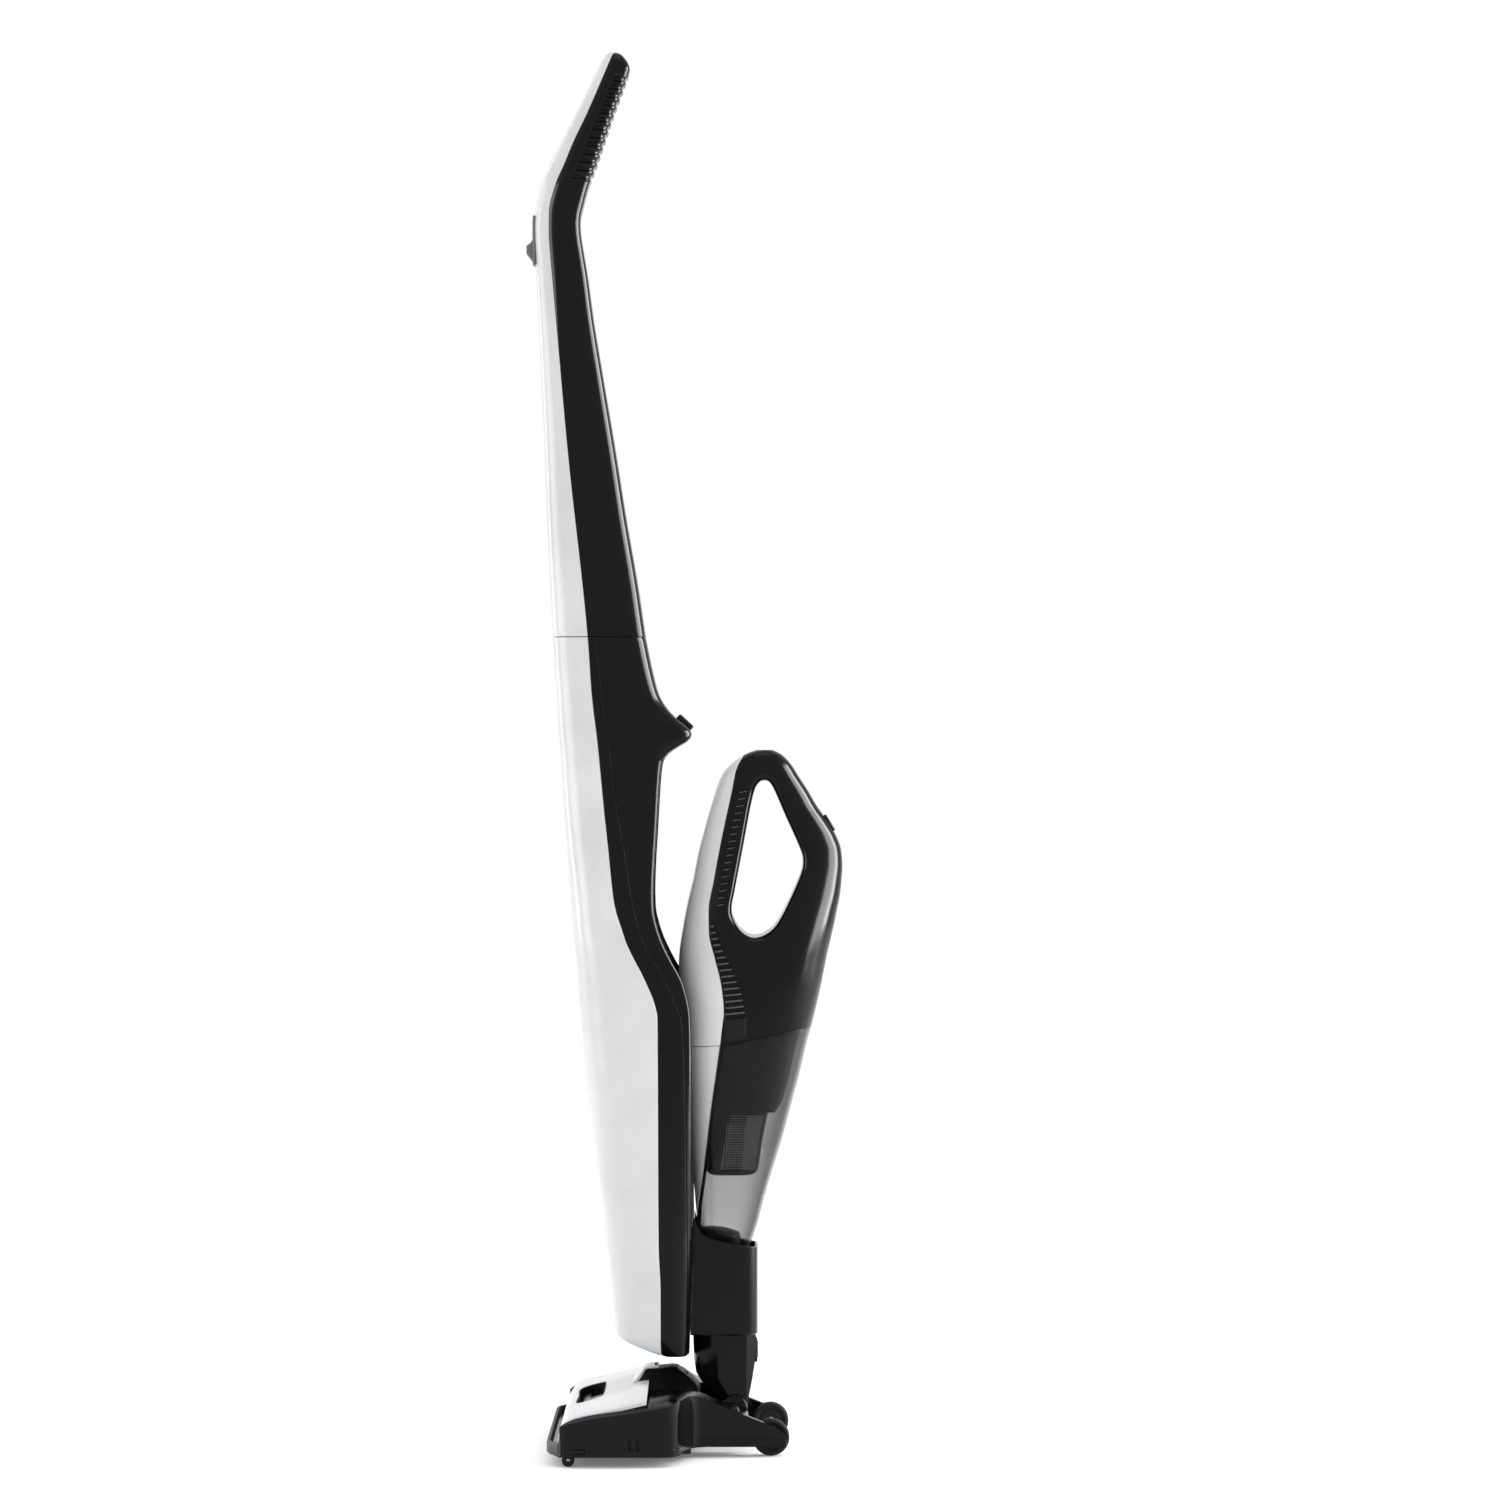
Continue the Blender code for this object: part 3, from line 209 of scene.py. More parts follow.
BY_SLOT = {"gloss_white": WHITE, "gloss_black": BLACK, "matte_black": MATTE, "grey_plastic": GREY,
           "rubber": RUBBER, "smoke_clear": SMOKE, "steel": STEEL, "motor_can": CAN,
           "circuit_board": BOARD, "battery_wrap": CELL, "bristle": NYLON, "filter_paper": PAPER,
           "filter_mesh": MESH_GREY}


def paint_cad_nodes():
    for row in frame["record"]["subparts"]:
        node = frame["nodes"][row["node"]]
        for holder in node.material_slots:
            holder.link = "OBJECT"
            holder.material = BY_SLOT[row["material_slot"]]


# ---- pieces ----
def piece(name, bm, finish, body, replaces=(), smooth=40.0):
    mesh = bpy.data.meshes.new(name)
    bmesh.ops.scale(bm, vec=(MM, MM, MM), verts=bm.verts)
    bm.to_mesh(mesh)
    bm.free()
    mesh.shade_smooth()
    if smooth:
        mesh.set_sharp_from_angle(angle=math.radians(smooth))
    made = bpy.data.objects.new(name, mesh)
    link(made)
    mesh.materials.append(finish)
    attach(made, body)
    if replaces:
        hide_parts(*replaces)
    return made


def arc(cx, cy, rx, ry, start, end, steps, power=2.0):
    """Superellipse arc, angles in degrees, both ends included."""
    points = []
    for i in range(steps + 1):
        angle = math.radians(start + (end - start) * i / steps)
        c, s = math.cos(angle), math.sin(angle)
        x = math.copysign(abs(c) ** (2 / power), c) if abs(c) > 1e-9 else 0.0
        y = math.copysign(abs(s) ** (2 / power), s) if abs(s) > 1e-9 else 0.0
        points.append((cx + rx * x, cy + ry * y))
    return points


def smooth_at(rows, z):
    """Row at a height on a smooth curve through the stations (monotone cubic)."""
    if z <= rows[0][0]:
        return rows[0]
    if z >= rows[-1][0]:
        return rows[-1]
    for i in range(len(rows) - 1):
        if rows[i][0] <= z <= rows[i + 1][0]:
            break
    low, high = rows[i], rows[i + 1]
    before = rows[i - 1] if i > 0 else None
    after = rows[i + 2] if i + 2 < len(rows) else None
    span = high[0] - low[0]
    t = (z - low[0]) / span
    out = [z]
    for k in range(1, len(low)):
        slope = (high[k] - low[k]) / span
        left = slope if before is None else tangent((low[k] - before[k]) / (low[0] - before[0]), slope)
        right = slope if after is None else tangent(slope, (after[k] - high[k]) / (after[0] - high[0]))
        h00, h10 = 2 * t ** 3 - 3 * t ** 2 + 1, t ** 3 - 2 * t ** 2 + t
        h01, h11 = -2 * t ** 3 + 3 * t ** 2, t ** 3 - t ** 2
        out.append(h00 * low[k] + h10 * span * left + h01 * high[k] + h11 * span * right)
    return tuple(out)


def tangent(a, b):
    """Slope at a station that keeps the curve from overshooting."""
    if a * b <= 0:
        return 0.0
    return 2 * a * b / (a + b)


def heights(low, high, step):
    count = max(2, round((high - low) / step))
    return [low + (high - low) * i / count for i in range(count + 1)]


def skin(rings, closed_ring=False):
    """Surface through rings of points; open rings give an open sheet."""
    bm = bmesh.new()
    rows = [[bm.verts.new(point) for point in ring] for ring in rings]
    count = len(rows[0])
    for low, high in zip(rows, rows[1:]):
        for i in range(count if closed_ring else count - 1):
            j = (i + 1) % count
            bm.faces.new((low[i], low[j], high[j], high[i]))
    return bm


def facing_out(bm, axis_point):
    """Turns the sheet so that its faces look away from a line of middle points."""
    bm.normal_update()
    total = sum((face.calc_center_median() - axis_point(face.calc_center_median())).dot(face.normal)
                * face.calc_area() for face in bm.faces)
    if total < 0:
        bmesh.ops.reverse_faces(bm, faces=bm.faces)
    return bm


def soften(made, width=0.6, segments=2, angle=50):
    rim = made.modifiers.new("soft_edges", "BEVEL")
    rim.width = width * MM
    rim.segments = segments
    rim.limit_method = "ANGLE"
    rim.angle_limit = math.radians(angle)
    return made


def shell(name, sheet, middle_at, finish, body, replaces=(), wall=2.0, edge=0.25):
    """Thin moulded wall, inward from its outer sheet, with softened rims."""
    made = piece(name, facing_out(sheet, middle_at), finish, body, replaces)
    solid = made.modifiers.new("wall", "SOLIDIFY")
    solid.thickness = wall * MM
    solid.offset = -1.0
    solid.use_even_offset = False
    return soften(made, edge, 2, 55)


def raised(outline, z):
    return [(x, y, z) for x, y in outline]


def mirrored(side, z):
    """Line of (x, y) carried on, mirrored, from its last point back to its first."""
    return raised(side + [(x, -y) for x, y in side[-2::-1]], z)


def centred(row):
    """Middle and half of the span from the front to the rear of a row."""
    return (row[1] + row[2]) / 2, (row[2] - row[1]) / 2


def middle_of(rows):
    """Line of middle points of a form, as a function of a point beside it."""
    return lambda point: Vector((centred(smooth_at(rows, point.z))[0], 0, point.z))


# ---- stick profiles: height, front x, rear x, half width, trough half width, trough depth ----
BODY_BOTTOM, SEAM_Z, TIP_Z = 76.0, 647.0, 1114.0
BODY = [
    (76, -19, 3.2, 40, 16, 0), (77.5, -25, 4.3, 43.5, 18, 0), (82, -38, 4.5, 46, 20, 0),
    (87.5, -50, 4.6, 48, 22, 0), (92.5, -55, 4.8, 49, 24, 0), (104, -56.6, 5.2, 49.6, 25, 0),
    (129, -59.6, 6.2, 51, 26, 0),
    (160, -63, 7.4, 52, 28, 0), (170, -64.2, 7.5, 52.3, 28.5, 3.5), (196, -67, 7.2, 53, 34, 11),
    (222, -70, 7.0, 53.5, 38, 17), (268, -75, 6.4, 54, 43.5, 28.5), (311, -79.4, 6.1, 54, 47, 40),
    (346, -82.8, 5.2, 54, 48, 47.5), (370, -85, 0.4, 54, 48, 47.5), (394, -86.9, -11.6, 53, 47, 37.5),
    (406, -88.1, -17.2, 52, 46, 32.5), (418, -89.1, -21.2, 50.5, 44.5, 28.3),
    (430, -90, -23.6, 49, 42.5, 25.8), (443, -90.9, -24.0, 46.5, 39.5, 24.8),
    (467, -93.0, -23.2, 41, 34, 24.5), (492, -95, -21.6, 36.5, 29, 24.2),
    (517, -96.8, -20.2, 34, 26, 22.5), (532, -97.8, -19.2, 33.3, 25, 19.8),
    (545, -98.5, -17.8, 33, 24, 13.8), (551, -98.9, -15.6, 32.8, 22, 3), (558, -99.3, -7, 32.5, 20, 0),
    (564, -99.8, 2.8, 32, 19, 0), (568, -100, 5.6, 31.8, 18.5, 0), (571, -100.3, 6, 31.5, 18, 0),
    (573, -100.5, 4.6, 31.5, 17, 0), (584, -101.2, -8, 31, 15, 0), (592, -101.7, -15, 30.5, 14, 0),
    (602, -102.2, -20.4, 30, 12, 0), (620, -103.6, -25.2, 29.2, 10, 0), (647, -105, -30.8, 28, 8, 0),
]
HANDLE = [
    (647, -105, -30.8, 28), (690, -107.6, -37.2, 27), (743, -110.2, -46.4, 25.5),
    (796, -112, -54.8, 24), (848, -114.4, -63.6, 22.4), (901, -117, -72.4, 20.6),
    (936, -118.9, -77.2, 19.4), (954, -120, -80.2, 18.8), (965, -120.8, -82.0, 18.5), (976, -121, -83, 18.3),
    (983, -120.6, -82.6, 18.3), (989, -119.6, -81.2, 18.2), (1007, -115.4, -76.4, 17.8),
    (1024, -108.6, -70, 17.5), (1042, -99.2, -63.8, 17.2), (1060, -90, -57.8, 16.8),
    (1077, -81.4, -51.6, 16.2), (1095, -73, -45.2, 15.2), (1101, -70, -43.6, 14.4),
    (1106, -67.4, -45.2, 13), (1110, -65, -48.0, 11), (1112.6, -63, -50.4, 9), (1114, -61, -53.2, 6.6),
]
SPLIT = [
    (60, -18), (129, -18), (165, -19.5), (345, -20.4), (357, -22.8), (369, -27.6), (381, -33.2),
    (393, -39.6), (405, -45.2), (417, -49.2), (429, -53.2), (441, -55.6), (477, -59.6), (513, -63.6),
    (558, -68), (602, -73.2), (647, -76.4), (795, -92.4), (901, -102), (936, -105.2), (954, -106.8),
    (971, -107.8), (986, -107.6), (1007, -102.8), (1024, -95.6), (1042, -88.2), (1060, -79.6),
    (1077, -72), (1095, -64.4), (1114, -56.5),
]
CREASE = [
    (60, 3.2), (93, 3.4), (277, 1.2), (341, -1.2), (357, -6.8), (381, -17.6), (397, -27.6), (417, -35.6),
    (437, -40.4), (477, -47), (517, -54), (557, -58.8), (597, -64.4), (647, -70), (697, -75), (796, -85.6),
    (848, -90.4), (877, -93.0), (893, -98.2), (901, -101.6),
]
CHAMFER = [(870, 0.0), (905, 1.6), (936, 3.6), (965, 4.2), (1095, 4.2), (1106, 3.2), (1114, 1.2)]
RIB_LOW, RIB_HIGH, RIB_PITCH, RIB_LIFT = 1010.6, 1096.0, 6.5, 0.7
FRONT_POWER, REAR_POWER, TROUGH_POWER = 2.5, 3.2, 2.6
CHAMFER_START, CHAMFER_DEPTH = 871, 0.55


def superside(x, middle, reach, half, power):
    """Half width of the section at x, ahead of or behind its widest line."""
    share = min(1.0, abs(x - middle) / reach)
    return half * (1 - share ** power) ** (1 / power)


def stick_middle(front, rear):
    return front + 0.45 * (rear - front)


def front_outline(z, rows, steps=22):
    """Open line from the split on the +Y side round the front to the -Y side."""
    row = smooth_at(rows, z)
    front, rear, half = row[1], row[2], row[3]
    split = smooth_at(SPLIT, z)[1] - GAP
    middle = stick_middle(front, rear)
    half -= chamfer_at(z) * CHAMFER_DEPTH
    line = []
    for i in range(steps + 1):
        x = split + (front - split) * math.sin(i / steps * math.pi / 2)
        line.append((x, half if x > middle else superside(x, middle, middle - front, half, FRONT_POWER)))
    return mirrored(line, z)


def chamfer_at(z):
    return smooth_at([(60, 0.0)] + CHAMFER, z)[1]


def section_half(x, middle, front, rear, half, lip):
    if x <= middle:
        return superside(x, middle, middle - front, half, FRONT_POWER)
    return lip + superside(x, middle, rear - middle, half - lip, REAR_POWER)


def rear_outline(z, rows, start, from_split=False, steps=16, back_steps=22):
    """Line from the +Y side round the back to the -Y side, flat or hollowed by the trough."""
    row = smooth_at(rows, z)
    front, rear, half = row[1], row[2], row[3]
    lip = row[4] if len(row) > 4 else half * 0.35
    depth = row[5] if len(row) > 5 else 0.0
    lip = min(lip, half - 0.6) if depth > 0.05 else min(lip, half * 0.6)
    middle = stick_middle(front, rear)
    line = []
    cham = chamfer_at(z) if from_split else 0.0
    if cham > 0.05:
        y = section_half(start, middle, front, rear, half, lip) - cham * CHAMFER_DEPTH
        line += [(start, y), (start + cham * 0.5, y + cham * 0.28)]
    begin = start + cham
    for i in range(steps + 1):
        x = begin + (rear - begin) * math.sin(i / steps * math.pi / 2)
        line.append((x, section_half(x, middle, front, rear, half, lip)))
    back = []
    for i in range(1, back_steps):
        angle = math.pi * i / back_steps
        side = math.cos(angle)
        y = lip * math.copysign(abs(side) ** (2 / TROUGH_POWER), side)
        back.append((rear - depth * math.sin(angle) ** (2 / TROUGH_POWER), y))
    return raised(line + back + [(x, -y) for x, y in reversed(line)], z)


def rib_lift(z):
    if not RIB_LOW <= z <= RIB_HIGH:
        return 0.0
    wave = math.cos(math.tau * (z - RIB_LOW) / RIB_PITCH)
    return RIB_LIFT * max(-1.0, min(1.0, 1.8 * wave))


def ribbed(ring, z, split):
    """Lifts the grip's back into rings, from a little behind the chamfer."""
    lift = rib_lift(z)
    row = smooth_at(HANDLE, z)
    start = split + 0.30 * (row[2] - split)
    out = []
    for x, y, height in ring:
        share = max(0.0, min(1.0, (x - start) / 2.5))
        reach = Vector((max(0.0, x - start), y * 0.8))
        push = reach.normalized() * lift * share if reach.length > 0.01 else Vector((0, 0))
        out.append((x + push.x - RIB_LIFT * share * 0.5 * (1 if lift else 0), y + push.y, height))
    return out


def flattened(ring):
    """Last ring drawn in to the middle line, which closes an end."""
    middle = sum(p[0] for p in ring) / len(ring)
    return [(middle + (x - middle) * 0.5, y * 0.02, h) for x, y, h in ring]


def build_stick():
    low, high = BODY_BOTTOM, SEAM_Z - 0.35
    levels = heights(low, 100, 1.6) + heights(100, high, 3.2)[1:]
    spine = middle_of(BODY)
    shell("body_white_front", skin([front_outline(z, BODY) for z in levels]), spine, WHITE,
          "stick", ("body_front_shell",), 2.2, 0.35)
    # dark band between the white front and the crease
    band = []
    for z in levels:
        start, end = smooth_at(SPLIT, z)[1] + GAP, smooth_at(CREASE, z)[1] - 0.2
        row = smooth_at(BODY, z)
        middle = stick_middle(row[1], row[2])
        lip = min(row[4], row[3] - 0.6)
        band.append([(x, section_half(x, middle, row[1], row[2], row[3], lip), z)
                     for x in [start + (end - start) * i / 14 for i in range(15)]])
    for side, word in SIDES:
        sheet = skin([[(x, side * y, z) for x, y, z in ring] for ring in band])
        shell("body_band_" + word, sheet, spine, BLACK, "stick", wall=2.2, edge=0.2)
    rings = [rear_outline(z, BODY, smooth_at(CREASE, z)[1] + 0.2) for z in levels]
    shell("body_black_rear", skin([flattened(rings[0])] + rings), lambda p: Vector((-30, 0, p.z)), BLACK,
          "stick", ("body_rear_shell",))


def build_handle():
    low, high = SEAM_Z + 0.35, TIP_Z
    levels = heights(low, 1000, 3.2) + heights(1000, 1098, 0.65)[1:] + heights(1098, high, 1.0)[1:]
    spine = middle_of(HANDLE)
    fronts = [front_outline(z, HANDLE) for z in levels]
    fronts.append(flattened(fronts[-1]))
    shell("handle_white_front", skin(fronts), spine, WHITE, "stick", ("handle_front_shell",),
          2.2, 0.35)
    rings = []
    for z in levels:
        split = smooth_at(SPLIT, z)[1] + GAP
        rings.append(ribbed(rear_outline(z, HANDLE, split, from_split=z > CHAMFER_START), z, split))
    count = max(len(r) for r in rings)
    rings = [r if len(r) == count else pad_ring(r, count) for r in rings]
    shell("handle_black_rear", skin(rings + [flattened(rings[-1])]), spine, BLACK, "stick",
          ("handle_rear_shell",), 2.0, 0.2)


def pad_ring(ring, count):
    """Same line with its first and last points repeated just inside, for rings with no chamfer."""
    extra = (count - len(ring)) // 2

    def fill(a, b):
        return [tuple(Vector(a).lerp(Vector(b), (i + 1) / (extra + 1))) for i in range(extra)]
    return [ring[0]] + fill(*ring[:2]) + ring[1:-1] + fill(*ring[-2:]) + [ring[-1]]


# ---- solids by Boolean, for the pieces that have holes ----
def solid(name, bm):
    """Scratch object in millimetres, kept out of the scene."""
    bmesh.ops.recalc_face_normals(bm, faces=bm.faces)
    mesh = bpy.data.meshes.new(name)
    bm.to_mesh(mesh)
    bm.free()
    return bpy.data.objects.new(name, mesh)


def carve(name, bm, tools, operation="DIFFERENCE"):
    """Body cut by its tools, as a new bmesh in millimetres."""
    body = solid(name, bm)
    link(body)
    cutters = [solid(name + "_cut", tool) for tool in tools]
    for tool in cutters:
        link(tool)
        step = body.modifiers.new("cut", "BOOLEAN")
        step.operation = operation
        step.solver = "EXACT"
        step.object = tool
    result = body.evaluated_get(bpy.context.evaluated_depsgraph_get())
    mesh = bpy.data.meshes.new_from_object(result)
    out = bmesh.new()
    out.from_mesh(mesh)
    bpy.data.meshes.remove(mesh)
    for item in [body] + cutters:
        bpy.data.objects.remove(item, do_unlink=True)
    return out


def capped(rings):
    bm = skin(rings, closed_ring=True)
    bm.verts.ensure_lookup_table()
    count = len(rings[0])
    bm.faces.new(bm.verts[:count][::-1])
    bm.faces.new(bm.verts[-count:])
    return bm


def prism(outline, low, high, axis="Y"):
    def at(point, depth):
        return (point[0], depth, point[1]) if axis == "Y" else (point[0], point[1], depth)
    return capped([[at(p, low) for p in outline], [at(p, high) for p in outline]])


def turn_to(axis):
    return Vector((0, 0, 1)).rotation_difference(Vector(axis).normalized()).to_matrix().to_4x4()


def rod(radius, length, centre, axis=(0, 0, 1), segments=48, bevel=0.0, tip=None):
    bm = bmesh.new()
    bmesh.ops.create_cone(bm, cap_ends=True, segments=segments, radius1=radius, radius2=tip or radius,
                          depth=length)
    if bevel:
        rims = [edge for edge in bm.edges if abs(abs(edge.verts[0].co.z) - length / 2) < 1e-4
                and abs(edge.verts[0].co.z - edge.verts[1].co.z) < 1e-4]
        bmesh.ops.bevel(bm, geom=rims, offset=bevel, segments=3, affect="EDGES", profile=0.5)
    bmesh.ops.transform(bm, matrix=Matrix.Translation(centre) @ turn_to(axis), verts=bm.verts)
    return bm


def block(size, centre, lean=0.0, bevel=0.6):
    bm = bmesh.new()
    bmesh.ops.create_cube(bm, size=1.0)
    bmesh.ops.scale(bm, vec=size, verts=bm.verts)
    if bevel:
        bmesh.ops.bevel(bm, geom=bm.edges, offset=bevel, segments=3, affect="EDGES", profile=0.5)
    turn = Matrix.Rotation(math.radians(lean), 4, "Y")
    bmesh.ops.transform(bm, matrix=Matrix.Translation(centre) @ turn, verts=bm.verts)
    return bm


def merged(parts):
    """Several bmeshes as one."""
    whole = bmesh.new()
    for bm in parts:
        mesh = bpy.data.meshes.new("joined")
        bm.to_mesh(mesh)
        bm.free()
        whole.from_mesh(mesh)
        bpy.data.meshes.remove(mesh)
    return whole


def closed_curve(points, per_span=8):
    """Catmull-Rom curve through points, closed."""
    out = []
    count = len(points)
    for i in range(count):
        p0, p1, p2, p3 = (Vector(points[(i + k) % count]) for k in (-1, 0, 1, 2))
        for j in range(per_span):
            t = j / per_span
            out.append(tuple(0.5 * (2 * p1 + (p2 - p0) * t + (2 * p0 - 5 * p1 + 4 * p2 - p3) * t ** 2
                                    + (3 * p1 - p0 - 3 * p2 + p3) * t ** 3)))
    return out


# ---- hand vacuum: height, front x, rear x, half width ----
HAND = [
    (156, 15.5, 48.5, 18), (160, 13, 51.6, 20), (177, 10.6, 58, 23.5), (201, 8.4, 64.4, 27.5),
    (225, 6.3, 71.6, 31.5), (249, 4.3, 78.8, 35), (273, 2.3, 85.2, 38), (297, 0.2, 91.6, 40.5),
    (321, -2, 97.2, 42.3), (345, -3.8, 103.6, 43.5), (369, -5, 109.2, 44), (393, -4.2, 114, 43.3),
    (417, -1, 119.6, 40.5), (429, 1.2, 122, 38), (441, 3.8, 124.4, 35), (453, 6.8, 125.7, 31.5),
    (465, 9.2, 126.4, 28), (477, 11.6, 125.4, 25), (489, 14.8, 121.2, 22.8), (501, 18, 114, 21.2),
    (513, 21.6, 105.6, 20), (525, 25.2, 98.6, 19), (537, 30, 90.8, 18), (545, 36.4, 85.8, 16.6),
    (550, 42.5, 81.6, 15), (554, 49, 77, 12.6), (557, 57, 71, 8),
]
HAND_SPLIT = [
    (140, 8), (177, 9.2), (225, 15.6), (273, 21.6), (309, 26.8), (333, 30), (351, 31.8), (369, 30),
    (393, 24.4), (411, 20), (429, 19.6), (453, 23.6), (489, 30.4), (525, 38.2), (541, 41.4), (560, 52),
]
SEAM_X, SEAM_HEIGHT = 30, 322.8
SEAM_TURN = Vector((SEAM_X, 0, SEAM_HEIGHT))
SEAM_FRONT, SEAM_REAR = 0.052, 0.203
FINGER_HOLE = [
    (58.8, 530.0), (64.6, 532.6), (70.2, 528), (80.6, 504.6), (92.0, 479), (94.6, 469), (92.6, 458),
    (83.0, 436), (74, 419.4), (65.6, 411.4), (55.4, 408.4), (46.6, 412.4), (40.2, 421), (37.8, 431),
    (40.4, 446), (46.2, 476), (54.2, 518),
]
HOLE_ROUND = 7.0
POWER_LEAN = -31.0


def hand_half(x, z):
    row = smooth_at(HAND, z)
    middle, reach = centred(row)
    return superside(x, middle, reach, row[3], 2.5)


def hand_side(z, low, high, steps):
    """(x, half width) between two x places, closer together towards the ends of the form."""
    row = smooth_at(HAND, z)
    middle, reach = centred(row)
    first = math.acos(max(-1.0, min(1.0, (low - middle) / reach)))
    last = math.acos(max(-1.0, min(1.0, (high - middle) / reach)))
    xs = [middle + reach * math.cos(first + (last - first) * i / steps) for i in range(steps + 1)]
    return [(x, superside(x, middle, reach, row[3], 2.5)) for x in xs]


def hand_front_ring(z):
    row = smooth_at(HAND, z)
    split = smooth_at(HAND_SPLIT, z)[1] - GAP
    return mirrored(hand_side(z, row[1], split, 18)[::-1], z)


def hand_rear_ring(z, start=GAP):
    row = smooth_at(HAND, z)
    split = smooth_at(HAND_SPLIT, z)[1] + start
    return mirrored(hand_side(z, split, row[2], 26), z)


def half_space(bm, point, normal):
    """Keeps what lies behind the plane."""
    geom = list(bm.verts) + list(bm.edges) + list(bm.faces)
    bmesh.ops.bisect_plane(bm, geom=geom, dist=1e-4, plane_co=point, plane_no=normal, clear_outer=True)
    return bm


hand_spine = middle_of(HAND)


def build_hand_front():
    up, down = Vector((-SEAM_FRONT, 0, 1)), Vector((SEAM_FRONT, 0, -1))
    low = skin([hand_front_ring(z) for z in heights(163, 325, 3)])
    half_space(low, SEAM_TURN - up * GAP, up)
    shell("bin_white_front", low, hand_spine, WHITE, "dust_bin", ("bin_front",))
    rings = [hand_front_ring(z) for z in heights(314, 540, 3) + heights(540, 557, 1.2)[1:]]
    high = skin(rings + [flattened(rings[-1])])
    half_space(high, SEAM_TURN + up * GAP, down)
    shell("hand_white_front", high, hand_spine, WHITE, "hand_unit", ("hand_front_shell",))


def outline_normals(outline):
    """Outward direction at each point of a closed outline, whichever way it runs."""
    area = sum(a[0] * b[1] - b[0] * a[1] for a, b in zip(outline, outline[1:] + outline[:1]))
    turn = 1 if area > 0 else -1
    normals = []
    for i in range(len(outline)):
        run = (Vector(outline[(i + 1) % len(outline)]) - Vector(outline[i - 1])).normalized()
        normals.append(Vector((run.y, -run.x)) * turn)
    return normals


def hole_cutter(side):
    """Finger hole with rolled rims that follow the flank."""
    outline = closed_curve(FINGER_HOLE, 6)
    normals = outline_normals(outline)
    rings = [[(x, -side * 2.0, z) for x, z in outline]]
    for k in range(0, 9):
        angle = math.radians(80 * k / 8)
        out, deep = HOLE_ROUND * (1 - math.cos(angle)), HOLE_ROUND * (1 - math.sin(angle))
        ring = []
        for (x, z), normal in zip(outline, normals):
            px, pz = x + normal.x * out, z + normal.y * out
            limit = 0.8 * max(hand_half(x, z), 4)
            ring.append((px, side * (max(hand_half(px, pz), 2) - min(deep, limit)), pz))
        rings.append(ring)
    last = rings[-1]
    rings.append([(x + n.x * 1.2, side * 60, z + n.y * 1.2) for (x, _, z), n in zip(last, normals)])
    return capped(rings)


VENT_CURVE = [(340, 49.5), (347, 49.6), (357, 48.4), (377, 42), (401, 31.6), (423, 22.8), (430, 20)]
VENT_LOW, VENT_PITCH, VENT_COUNT = 346.0, 4.9, 17
GRIP_LOW, GRIP_PITCH, GRIP_COUNT = 434.0, 5.6, 17


def flank_row(low, pitch, count, span_at, out, size, lean, bevel, shortest=0.0):
    """Row of small blocks up both flanks, each from one x to another at its height."""
    blocks = []
    for k in range(count):
        z = low + pitch * k
        start, end = span_at(smooth_at(HAND_SPLIT, z)[1], smooth_at(VENT_CURVE, z)[1])
        if end - start < shortest:
            continue
        middle = (start + end) / 2
        for side in (1, -1):
            place = (middle, side * (hand_half(middle, z) + out), z)
            blocks.append(block((end - start, *size), place, lean, bevel))
    return merged(blocks)


def seam_z(x):
    """Height of the seam between the bin and the black body."""
    return SEAM_HEIGHT + (x - SEAM_X) * SEAM_REAR


def build_hand_rear():
    levels = heights(316, 540, 2.5) + heights(540, 557, 1.2)[1:]
    rings = [hand_rear_ring(z) for z in levels]
    bm = capped(rings)
    inner = []
    for z in heights(300, 400, 10):
        row = smooth_at(HAND, z)
        middle, reach = centred(row)
        inner.append(raised(arc(middle, 0, reach - 5, row[3] - 5, 0, 350, 35, 2.5), z))
    below = prism([(-40, 250), (-40, seam_z(-40)), (SEAM_X, SEAM_HEIGHT + 0.2), (160, seam_z(160) + 0.2),
                   (160, 250)], -80, 80)
    vents = flank_row(VENT_LOW, VENT_PITCH, VENT_COUNT, lambda split, curve: (split + 1.6, curve - 0.8),
                      1.0, (6.0, 2.5), -6, 0.5, 1.5)
    grooves = flank_row(GRIP_LOW, GRIP_PITCH, GRIP_COUNT, lambda split, _: (split + 3.5, split + 12.5),
                        1.2, (4.4, 1.5), -10, 0.4)
    pocket = block((8, 12, 16.2), (113.8, 0, 497.6), POWER_LEAN, 0)
    body = carve("hand_body", bm, [below, capped(inner), hole_cutter(1), hole_cutter(-1),
                                   vents, grooves, pocket])
    made = piece("hand_black_body", body, BLACK, "hand_unit", ("hand_rear_shell",), 28)
    made.modifiers.new("even_normals", "WEIGHTED_NORMAL").keep_sharp = True
    # vent bars in the lighter satin black, whose colour paints the highlight down each bar
    bars = flank_row(VENT_LOW + VENT_PITCH / 2, VENT_PITCH, VENT_COUNT - 1,
                     lambda split, curve: (split + 1.2, curve - 1.6), -0.1, (1.6, 1.5), -6, 0.6, 2.0)
    piece("vent_bars", bars, SATIN_PAINTED_HIGHLIGHT, "hand_unit")
    # grip ribs in the lighter satin black, whose colour paints the highlight dashes along the grip
    ribs = flank_row(GRIP_LOW, GRIP_PITCH, GRIP_COUNT, lambda split, _: (split + 5.8, split + 12.2),
                     -0.5, (1.4, 0.9), -10, 0.35)
    piece("grip_ribs", ribs, SATIN_PAINTED_HIGHLIGHT, "hand_unit")
    build_vent_panel()


